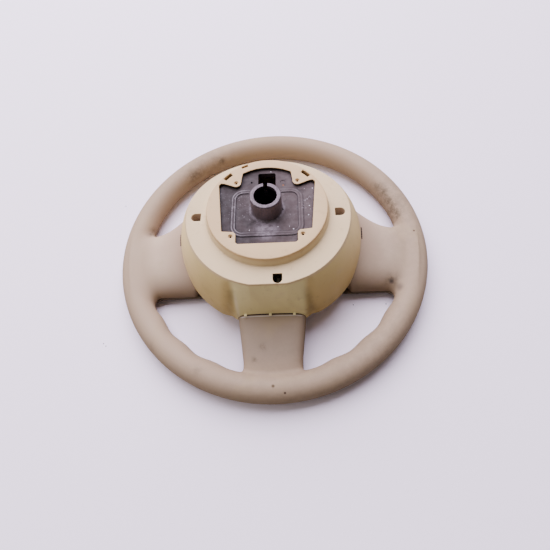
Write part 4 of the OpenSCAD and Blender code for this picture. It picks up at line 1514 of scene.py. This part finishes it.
@dataclass(frozen=True)
class FoamFinish:
    """Integral skin polyurethane foam, moulded round the casting.

    Its satin skin gives the eye broad, soft highlights. The beige has yellowed in blotches and is brown
    where hands have rubbed it. Painted shade darkens it toward the lower rim, on the lower edges of the
    side spokes, in broad patches on the right and the bottom of the rim and in the seams, and a painted
    highlight runs below the lower seam.
    """

    name: str = "grip_foam"
    fresh: str = "bea78f"
    aged: str = "b29881"
    lower: str = "978470"
    corner: str = "6f5b50"
    rim: str = "a48d75"
    yellowed: str = "a8936f"
    grime_and_shade: str = "514636"
    seam_highlight: str = "f4ebe4"
    seam_shade: str = "2a1d1a"
    speck: str = "7d6553"
    # Painted shade in the slit of each side arch: its X, the Y where it starts and ends, its level at Y 0
    # and its slope
    slit: tuple[float, float, float, float, float] = (104.3, -9.5, 2.0, -70.6, 0.25)
    slit_radius: float = 1.2

    def seams(self, g: Graph, tint: Socket) -> Socket:
        """Paints light and shade onto the foam: a highlight along its edge below the lower spoke's
        seam, and shade in that seam and in the slits of the side arches.

        Args:
            g: the material's graph.
            tint: colour below.

        Returns:
            The colour with the seams.
        """
        wide = g.along("X", 40, 41, 1.0, 0.0, mirrored=True)
        # Painted highlight along the foam's edge below the lower seam
        tint = g.over(tint, self.seam_highlight, g.line(g.axes["Y"], -96.2, 0.9),
                      g.along("Z", -89, -88, 0.0, 0.5), wide)
        # Painted shade in the gap of the lower seam
        tint = g.over(tint, self.seam_shade, g.along("Y", -95.3, -94.9),
                      g.along("Y", -88, -87, 1.0, 0.0), wide, g.along("Z", -98, -96))
        x, first, last, level, slope = self.slit
        # Painted shade in the slits of the side arches, a row of dark spots on each side
        for side in (-1, 1):
            for y in np.linspace(first, last, 7):
                tint = g.over(tint, self.seam_shade,
                              g.spot(side * x, y, level + slope * y, self.slit_radius, 0.3))
        return tint

    def build(self) -> bpy.types.Material:
        """Makes the material, one colour over the other.

        Returns:
            The material.
        """
        g = Graph(self.name)
        tint = g.over(self.fresh, self.aged, g.mottle(Noise(111.11, 2), 0.35, 0.65))
        # Painted shade: darker toward the lower side of the wheel, and more so on the lower edges of the
        # side spokes
        tint = g.over(tint, self.lower, g.along("Y", -125, -25, 0.95, 0.0))
        tint = g.over(tint, self.corner, g.along("Y", -68, -34, 0.6, 0.0),
                      g.along("X", 80, 90, mirrored=True))
        tint = g.over(tint, self.rim, g.around(132, 158))
        tint = g.over(tint, self.yellowed, g.mottle(Noise(47.619, 3, 0.6, 0.4), 0.52, 0.75, 0.0, 0.4))
        # Dirt, and painted shade from the broad patches, as stored on the skin's vertices
        soil_and_shade_share = g.add("ShaderNodeAttribute", {"attribute_name": "soil_and_shade"}).outputs["Fac"]
        tint = g.over(tint, self.grime_and_shade, soil_and_shade_share,
                      g.mottle(Noise(9.0909, 6, 0.75), 0.36, 0.62, 0.25, 1.0))
        tint = self.seams(g, tint)
        for mark in FOAM_MARKS:
            tint = g.over(tint, mark.code, g.spot(mark.x, mark.y, mark.z, mark.radius, mark.soft))
        # Specks of dirt, at most one in each cell of 4.8 mm
        cells = g.add("ShaderNodeTexVoronoi", Vector=g.place, Scale=1000.0 / 4.7619).outputs["Distance"]
        specks = g.add(*RAMP, Value=cells, From_Min=0.06, From_Max=0.11, To_Min=1.0, To_Max=0.0)
        tint = g.over(tint, self.speck, specks.outputs[0], g.mottle(Noise(33.333, 2), 0.62, 0.70), 0.7)
        rough = g.mottle(Noise(25.0), 0.3, 0.7, 0.55, 0.66)
        # The skin's grain of about 0.2 mm, drawn 0.4 mm wide so that it shows, over shallow waves
        relief = g.noise(Noise(0.384615, 2, 0.5), Noise(11.1111, 2, weight=1.6))
        return g.finish(tint, rough, specular=0.2, relief=relief, depth=0.06)


@dataclass(frozen=True)
class CoverFinish:
    """Polypropylene, injection moulded with a fine matt grain.

    It gives the eye a soft sheen. The hub side is cream and the skirt is yellower. Painted light and
    shade lie on it as well: the skirt is darker at the front and lighter at its sides, the front panel,
    a line beside it and the wall up to the disc are lighter, and the corners between disc, flange and
    skirt, the valleys beside the panel and the release holes are darker.
    """

    name: str = "cover_plastic"
    disc: str = "c9a97b"
    skirt_front: str = "d8be80"
    skirt_side: str = "f2d59a"
    panel: str = "fff4b8"
    panel_ridge_highlight: str = "fff0cc"
    yellowed: str = "bea576"
    bleached: str = "d3b996"
    corners: str = "a08a64"
    flange: str = "bf9c66"
    disc_wall: str = "ecdcb4"
    grime_and_shade: str = "6f5a38"
    dust_and_painted_light: str = "8c7350"
    # Middle of each release hole and the colour painted inside it as painted shade, near black in the lower
    # hole
    hole_insides: tuple[tuple[float, float, str], ...] = (
        (77.0, -2.5, "b8a490"), (-77.0, -2.5, "b8a490"), (10.0, -79.4, "1c0e12"))

    def build(self) -> bpy.types.Material:
        """Makes the material, one colour over the other.

        Returns:
            The material.
        """
        g = Graph(self.name)
        down = g.both(g.along("Z", -34.0, -29.8, 1.0, 0.0), g.around(83.5, 84.5))
        # Painted light and shade: the skirt darker at the front and lighter toward its sides
        skirt = g.over(self.skirt_front, self.skirt_side, g.along("X", 60, 100, 0.0, 0.8, mirrored=True))
        tint = g.over(self.disc, skirt, down)
        # Painted light on the front panel, and a painted highlight along its left edge
        front = g.both(g.along("X", 34, 42, 0.75, 0.0, mirrored=True), down,
                       g.along("Y", -70, -60, 1.0, 0.0))
        tint = g.over(tint, self.panel, front)
        tint = g.over(tint, self.panel_ridge_highlight, g.line(g.axes["X"], -35.8, 3.2),
                      g.along("Z", -62, -45, 1.0, 0.0), front, 0.8)
        tint = g.over(tint, self.yellowed, g.mottle(Noise(62.5, 3, 0.6, 0.5), 0.45, 0.75, 0.0, 0.35))
        tint = g.over(tint, self.bleached, g.mottle(Noise(35.7143), 0.55, 0.8, 0.0, 0.35))
        # Painted shade in the corners between disc, flange and skirt
        tint = g.over(tint, self.corners, g.corner_shade(4.0), 0.3)
        tint = g.over(tint, self.flange, g.along("Z", -29.0, -28.5, 1.0, 0.0),
                      g.along("Z", -31.0, -29.8), 0.6)
        # Painted light: a lighter band from the top of the skirt up to the disc, brightest halfway up the
        # disc's wall
        tint = g.over(tint, self.disc_wall, g.line(g.axes["Z"], -25.5, 9.0), g.around(64, 65), 0.6)
        # Painted shade in the valleys beside the panel, and two darker patches low on the skirt, as stored
        # on the cover's vertices
        soil_and_shade_share = g.add("ShaderNodeAttribute", {"attribute_name": "soil_and_shade"}).outputs["Fac"]
        tint = g.over(tint, self.grime_and_shade, soil_and_shade_share, g.mottle(Noise(16.6667), 0.3, 0.7, 0.6, 1.0))
        # Painted shade on the walls under the release holes
        below = g.along("Z", -30.2, -29.8, 1.0, 0.0)
        for x, y, code in self.hole_insides:
            tint = g.over(tint, code, below, g.around(6.2, 6.6, 0.9, 0.0, x, y))
        tint = g.over(tint, self.dust_and_painted_light, g.mottle(Noise(8.33333, 5, 0.7), 0.56, 0.78, 0.0, 0.3))
        rough = g.mottle(Noise(16.6667), 0.3, 0.7, 0.46, 0.56)
        # The mould's grain of about 0.15 mm, drawn 0.3 mm wide so that it shows, over shallow waves
        relief = g.noise(Noise(0.3125, 2, 0.5), Noise(16.6667, 2, weight=1.2))
        return g.finish(tint, rough, specular=0.22, relief=relief, depth=0.05)


@dataclass(frozen=True)
class CastFinish:
    """Aluminium alloy, die cast and left bare.

    It gives the eye a dull dark grey with paler crystals where it is worn, white corrosion and a rusty
    ejector mark. Painted light and shade lie on it as well: it is lighter toward the right, painted
    highlights lie on the boss's foot, below the boss and along the pressed frame round the hub plate,
    and painted shade lies along that frame, in its corners and in its holes.
    """

    name: str = "cast_alloy"
    dark: str = "271e1e"
    pale: str = "392e2e"
    lit: str = "584948"
    pits: str = "1b1516"
    boss_foot_highlight: str = "8d8087"
    low_shine: str = "93868d"
    crystals: str = "a99ea4"
    corrosion: str = "d8d0d5"
    frame_shade: str = "1f191b"
    frame_highlight: str = "a3989e"
    corners: str = "120c0e"
    z_face: float = -22.4
    # The pressed frame round the hub plate: its corners and the radius between its sides
    frame_low: tuple[float, float] = (-38.5, -35.0)
    frame_high: tuple[float, float] = (38.5, 26.0)
    frame_corner: float = 13.0
    # Place and size of each grain of white corrosion
    salt: tuple[tuple[float, float, float], ...] = (
        (45.1, 1.3, 0.9), (43.7, -10.4, 1.3), (49.2, 24.4, 0.9), (40.7, 24.3, 0.7),
        (11.5, -23.9, 1.3), (23.5, -24.0, 0.8), (27.7, -27.3, 1.1), (-18.1, -27.0, 0.9),
        (4.4, 49.8, 0.9), (45.8, -3.0, 0.6), (13.2, -30.6, 0.6), (41.5, -1.7, 0.6))
    salt_radius: float = 0.8

    def marks(self, g: Graph, tint: Socket, worn: Socket) -> Socket:
        """Paints shade and highlight lines along the pressed frame, the corrosion, the ejector mark and the
        holes' shade.

        Args:
            g: the material's graph.
            tint: colour below.
            worn: share by which the casting's surface is worn.

        Returns:
            The colour with the marks.
        """
        # Painted shade and highlight lines along the edges of the pressed frame, the highlights stronger on
        # the left, broken up by the wear pattern
        frame = g.outline(self.frame_low, self.frame_high, self.frame_corner)
        left = g.along("X", -34, -12, 0.45, 0.10)
        for at, width, code, share in ((0.2, 1.0, self.frame_shade, 0.5), (-2.9, 0.8, self.frame_shade, 0.4),
                                       (-5.7, 1.0, self.frame_shade, 0.5), (-1.6, 0.9, self.frame_highlight, left),
                                       (-4.4, 0.8, self.frame_highlight, left)):
            tint = g.over(tint, code, g.line(frame, at, width), share, worn)
        tint = g.over(tint, self.crystals, g.mottle(Noise(2.38095, 4, 0.7), 0.60, 0.68),
                      g.mottle(Noise(41.6667), 0.5, 0.65), 0.7)
        for x, y, size in self.salt:
            tint = g.over(tint, self.corrosion,
                          g.spot(x, y, self.z_face, self.salt_radius * size, 0.9, 1.6))
        # A rusty ejector mark, then painted shade: two dark spots in holes and a dark patch where the plate
        # meets the hole above the boss
        for x, y, z, radius, soft, ragged, code in (
                # Stores the skin's dirt and painted shade and gives it its finish.
                (17.8, 30.2, -22.5, 1.4, 0.4, 0.6, "6f4429"), (16.8, -2.2, -22.3, 1.3, 0.3, 0.0, "151011"),
                (-17.0, 36.2, -22.5, 1.2, 0.4, 0.0, "130d10"), (0.0, 20.5, -22.3, 5.0, 0.2, 0.0, "0a0607")):
            tint = g.over(tint, code, g.spot(x, y, z, radius, soft, ragged))
        return tint

    def build(self) -> bpy.types.Material:
        """Makes the material, one colour over the other.

        Returns:
            The material.
        """
        g = Graph(self.name)
        tint = g.over(self.dark, self.pale, g.mottle(Noise(28.5714, 5, 0.65, 0.8), 0.35, 0.7))
        tint = g.over(tint, self.lit, g.along("X", -40, 40, 0.0, 0.6))
        tint = g.over(tint, self.pits, g.mottle(Noise(9.0909, 4, 0.6), 0.55, 0.75, 0.0, 0.7))
        worn = g.mottle(Noise(5.26316, 4, 0.7), 0.36, 0.6, 0.35, 1.0)
        # Painted highlights on the fillet at the boss's foot and below the boss, broken up by the wear
        # pattern
        tint = g.over(tint, self.boss_foot_highlight, g.around(17.5, 20.5, 0.5, 0.0), worn)
        tint = g.over(tint, self.low_shine, g.spot(0, -26, -22.5, 18, 0.9), worn)
        tint = self.marks(g, tint, worn)
        # Painted shade in the corners
        tint = g.over(tint, self.corners, g.corner_shade(4.0), 0.9)
        rough = g.mottle(Noise(7.14286, 4), 0.3, 0.7, 0.55, 0.72)
        # The casting's skin: pits of 1.4 mm over flow marks of 8 mm
        relief = g.noise(Noise(1.42857, 4, 0.6), Noise(8.33333, weight=1.5))
        return g.finish(tint, rough, metal=0.1, specular=0.25, relief=relief, depth=0.22, edge=0.5)


@dataclass(frozen=True)
class BossFinish:
    """Carbon steel, turned and broached.

    It gives the eye a dull grey with a worn face and some rust, and painted shade turns its bore black.
    """

    name: str = "boss_steel"
    dark: str = "43393c"
    pale: str = "61555a"
    rust: str = "4a3b36"
    side: str = "97868b"
    black: str = "060405"

    def build(self) -> bpy.types.Material:
        """Makes the material. The bore and the keying slot are painted black as painted shade, and neither
        shine nor mirror.

        Returns:
            The material.
        """
        g = Graph(self.name)
        tint = g.over(self.dark, self.pale, g.mottle(Noise(4.54545, 4, 0.7), 0.35, 0.65))
        tint = g.over(tint, self.rust, g.mottle(Noise(13.3333, 4, 0.7), 0.58, 0.72, 0.0, 0.6))
        tint = g.over(tint, self.side, g.around(15.8, 16.2), g.along("Z", -1.6, -0.8, 0.6, 0.0))
        # Painted shade: the bore and the keying slot black, without shine or reflection
        bore = g.both(g.around(12.2, 12.6, 1.0, 0.0), g.along("Z", -6.0, -0.5, 1.0, 0.0))
        slot = g.spot(0, 14.5, -9.0, 7.5, 0.1)
        bore = g.add("ShaderNodeMath", {"operation": "MAXIMUM"}, i0=bore, i1=slot).outputs[0]
        tint = g.over(tint, self.black, bore)
        clear = g.add("ShaderNodeMath", {"operation": "SUBTRACT"}, i0=1.0, i1=bore).outputs[0]
        # Tool marks of about 0.3 mm, drawn 1.1 mm wide so that they show
        return g.finish(tint, g.mottle(Noise(5.0), 0.3, 0.7, 0.40, 0.58), metal=g.both(clear, 0.5),
                        specular=g.both(clear, 0.4), relief=g.noise(Noise(1.11111)), depth=0.12,
                        edge=0.4)


@dataclass(frozen=True)
class BezelFinish:
    """ABS, injection moulded in black.

    It gives the eye a dark satin. Its upper edge under the spokes is painted paler, as painted light.
    """

    name: str = "bezel_plastic"
    dark: str = "2b2625"
    dust_and_painted_light: str = "85725f"

    def build(self) -> bpy.types.Material:
        """Makes the material.

        Returns:
            The material.
        """
        g = Graph(self.name)
        # Painted light: the upper edge under the spokes paler
        tint = g.over(self.dark, self.dust_and_painted_light, g.along("Z", -116.8, -116.0), g.around(98, 108), 0.8)
        # The mould's grain of about 0.2 mm, drawn 0.6 mm wide
        return g.finish(tint, g.mottle(Noise(12.5), 0.3, 0.7, 0.45, 0.56),
                        relief=g.noise(Noise(0.555556, 2)), depth=0.03, edge=0.3)


@dataclass(frozen=True)
class PlainFinish:
    """An even finish with slight wear, for pieces that the cover and the floor hide."""

    name: str
    code: str
    rough: float
    metal: float = 0.0
    grain: float = 0.03
    edge: float = 0.3
    wear: tuple[float, float, float, float] = (0.78, 0.77, 0.76, 1.0)

    def build(self) -> bpy.types.Material:
        """Makes the material, with blotches in which each channel is lowered by its wear.

        Returns:
            The material.
        """
        g = Graph(self.name)
        fresh = srgb(self.code)
        worn = tuple(channel * share for channel, share in zip(fresh, self.wear))
        tint = g.over(fresh, worn, g.mottle(Noise(22.2222, 4, 0.6), 0.45, 0.75, 0.0, 0.7))
        rough = g.mottle(Noise(12.5), 0.3, 0.7, self.rough - 0.05, self.rough + 0.06)
        # Grain of about 0.2 mm, drawn 0.6 mm wide
        return g.finish(tint, rough, metal=self.metal, relief=g.noise(Noise(0.555556, 2)),
                        depth=self.grain, edge=self.edge)


FINISHES = (
    FoamFinish(), CoverFinish(), CastFinish(), BossFinish(), BezelFinish(),
    # Moulded plastic of the pad: the grip's beige, satin and even
    PlainFinish("pad_plastic", "cbb9a4", 0.52, edge=0.6),
    # Zinc plated sheet steel: light grey with a soft gloss
    PlainFinish("plate_steel", "b4b5b8", 0.38, 0.8),
    # Drawn steel can: brighter and smoother than the plate
    PlainFinish("inflator_steel", "c4c5c8", 0.3, 0.9),
    # Zinc plated nuts and studs
    PlainFinish("fastener_steel", "a9a9ac", 0.35, 0.9),
    # Oiled spring wire: darker, with a hard gloss
    PlainFinish("spring_steel", "6a6866", 0.35, 0.9),
    # Acetal bushes: milky white
    PlainFinish("bush_plastic", "dcd8cb", 0.45),
    # Woven polyamide: white without any gloss
    PlainFinish("bag_fabric", "e6e3dc", 0.8, grain=0.2),
)


# Floor, lights and camera


@dataclass(frozen=True)
class Lamp:
    """A square area lamp: place, point it faces and size in metres, power in watts, and colour."""

    name: str
    place: tuple[float, float, float]
    aim: tuple[float, float, float]
    size: float
    power: float
    color: tuple[float, float, float]

    def build(self) -> None:
        """Adds the lamp."""
        data = bpy.data.lights.new(self.name, "AREA")
        data.size, data.energy, data.color = self.size, self.power, self.color
        lamp = bpy.data.objects.new(self.name, data)
        lamp.location = self.place
        toward = Vector(self.aim) - Vector(self.place)
        lamp.rotation_euler = toward.to_track_quat("-Z", "Y").to_euler()
        bpy.context.scene.collection.objects.link(lamp)


@dataclass(frozen=True)
class Studio:
    """The pale floor, the light round it and the photograph's camera."""

    camera_place: tuple[float, float, float] = (0.03148, -0.28827, 0.36280)
    camera_right: tuple[float, float, float] = (0.99791, -0.00679, -0.06426)
    camera_up: tuple[float, float, float] = (0.03643, 0.88044, 0.47275)
    lens: float = 29.45
    sensor: float = 36.0
    nearest: float = 0.01
    floor_reach: float = 6.0
    paper: str = "fff2ff"
    paper_bounce: str = "a39a94"
    speck: str = "4a4350"
    specks: tuple[tuple[float, float], ...] = (
        (94.0, -68.3), (132.1, -68.6), (-200.2, -107.6), (-196.8, -110.8), (-204.0, 92.0))
    speck_radius: float = 0.9
    sky: str = "f8f1e8"
    sky_strength: float = 0.17
    backdrop: str = "efecf5"
    lamps: tuple[Lamp, ...] = (
        Lamp("key", (-0.28, 1.3, 1.65), (0.0, 0.02, -0.08), 2.6, 190.0, (1.0, 0.955, 1.15)),
        Lamp("fill", (-1.3, -0.25, 1.0), (0.0, 0.0, -0.08), 1.0, 9.0, (1.0, 0.95, 0.93)))

    def build(self) -> None:
        """Adds floor, world, lamps and camera."""
        self.floor()
        self.world()
        for lamp in self.lamps:
            lamp.build()
        self.camera()

    def floor(self) -> None:
        """A wide sheet of paper just under the rim. It throws back less light than the camera sees."""
        mesh = bpy.data.meshes.new("floor")
        z, reach = S.z_floor * MM, self.floor_reach
        corners = [(-reach, -reach, z), (reach, -reach, z), (reach, reach, z), (-reach, reach, z)]
        mesh.from_pydata(corners, [], [(0, 1, 2, 3)])
        floor = bpy.data.objects.new("floor", mesh)
        bpy.context.scene.collection.objects.link(floor)
        g = Graph("floor_paper")
        tint = self.paper
        for x, y in self.specks:
            tint = g.over(tint, self.speck, g.spot(x, y, S.z_floor, self.speck_radius, 0.5))
        seen = g.add("ShaderNodeLightPath").outputs["Is Camera Ray"]
        floor.data.materials.append(g.finish(g.over(self.paper_bounce, tint, seen), 0.75, specular=0.2))

    def world(self) -> None:
        """Even light, with a near white backdrop that only the camera sees."""
        world = bpy.data.worlds.new("studio")
        bpy.context.scene.world = world
        world.use_nodes = True
        tree = world.node_tree
        tree.nodes.clear()
        light = add_node(tree, "ShaderNodeBackground", Color=srgb(self.sky), Strength=self.sky_strength)
        backdrop = add_node(tree, "ShaderNodeBackground", Color=srgb(self.backdrop))
        seen = add_node(tree, "ShaderNodeLightPath").outputs["Is Camera Ray"]
        both = add_node(tree, "ShaderNodeMixShader", i0=seen, i1=light.outputs[0], i2=backdrop.outputs[0])
        add_node(tree, "ShaderNodeOutputWorld", Surface=both.outputs[0])

    def camera(self) -> None:
        """Adds the camera, fitted to the photograph."""
        data = bpy.data.cameras.new("camera")
        data.lens, data.sensor_width, data.clip_start = self.lens, self.sensor, self.nearest
        camera = bpy.data.objects.new("camera", data)
        right = Vector(self.camera_right).normalized()
        up = (Vector(self.camera_up) - right * right.dot(Vector(self.camera_up))).normalized()
        axes = Matrix((right, up, right.cross(up))).transposed()
        camera.matrix_world = Matrix.Translation(self.camera_place) @ axes.to_4x4()
        bpy.context.scene.collection.objects.link(camera)
        bpy.context.scene.camera = camera


# Assembly


def soil_and_shade(piece: bpy.types.Object, dark_patches: Sequence[DarkPatch]) -> None:
    """Stores how far dirt and painted shade darken each vertex of a piece, in the attribute "soil".

    A patch's darkening falls off as a bell with the distance, which counts less along the rim, and
    what the patches leave clean is multiplied.

    Args:
        piece: the piece.
        dark_patches: its darker patches, of dirt and of painted shade.
    """
    mesh = piece.data
    at = np.empty(len(mesh.vertices) * 3, np.float32)
    mesh.vertices.foreach_get("co", at)
    at = at.reshape(-1, 3) / MM
    clean = np.ones(len(at))
    for dark_patch in dark_patches:
        away = at - [dark_patch.x, dark_patch.y, dark_patch.z]
        round_axis = np.array([-dark_patch.y, dark_patch.x, 0.0]) / max(math.hypot(dark_patch.x, dark_patch.y), 1e-6)
        run = away @ round_axis
        across = np.maximum((away**2).sum(1) - run**2, 0.0)
        clean *= 1 - dark_patch.dark * np.exp(-(across + (run / dark_patch.along) ** 2) / dark_patch.size**2)
    attribute = mesh.attributes.new("soil_and_shade", "FLOAT", "POINT")
    attribute.data.foreach_set("value", (1 - clean).astype(np.float32))


class Wheel:
    """Dresses the CAD nodes and adds the pieces that stand for some of them."""

    def __init__(self, frame: dict) -> None:
        """Makes every finish and notes the material slot of each node.
        """
        self.nodes = frame["nodes"]
        self.finishes = {finish.name: finish.build() for finish in FINISHES}
        self.slots = {p["node"]: p["material_slot"] for p in frame["record"]["subparts"]}

    def dress(self, piece: bpy.types.Object, slot: str) -> None:
        """Gives a piece the finish of a material slot.

        Args:
            piece: the piece.
            slot: name of the slot, which is also the finish's name.
        """
        piece.data.materials.clear()
        piece.data.materials.append(self.finishes[slot])

    def stand_in(self, piece: bpy.types.Object, node: str, body: Body) -> None:
        """Lets a piece stand for a CAD node on its body, with that node's finish.

        Args:
            piece: the piece.
            node: name of the CAD node.
            body: the body that the piece moves with.
        """
        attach(piece, body.value)
        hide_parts(node)
        self.dress(piece, self.slots[node])

    def build(self) -> None:
        """Makes every piece."""
        for name, node in self.nodes.items():
            self.dress(node, self.slots[name])
            LOG.info("%s: CAD node in %s", name, self.slots[name])
        for shape in (Foam(), RearCover(), HornPad()):
            shape.dress(shape.build(), self)
        for side in Side:
            low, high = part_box(f"horn_spring_{side.value}")
            coil = HornSpring()
            spring = coil.build(f"horn_coil_{side.value}", (low, high))
            coil.dress(spring, side, self)
            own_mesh(spring)


def main() -> None:
    """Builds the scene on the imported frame."""
    logging.basicConfig(level=logging.INFO, format="%(message)s")
    for block in (bpy.data.objects, bpy.data.meshes):
        for item in list(block):
            block.remove(item)
    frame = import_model()
    Wheel(frame).build()
    Studio().build()


if __name__ == "__main__":
    main()
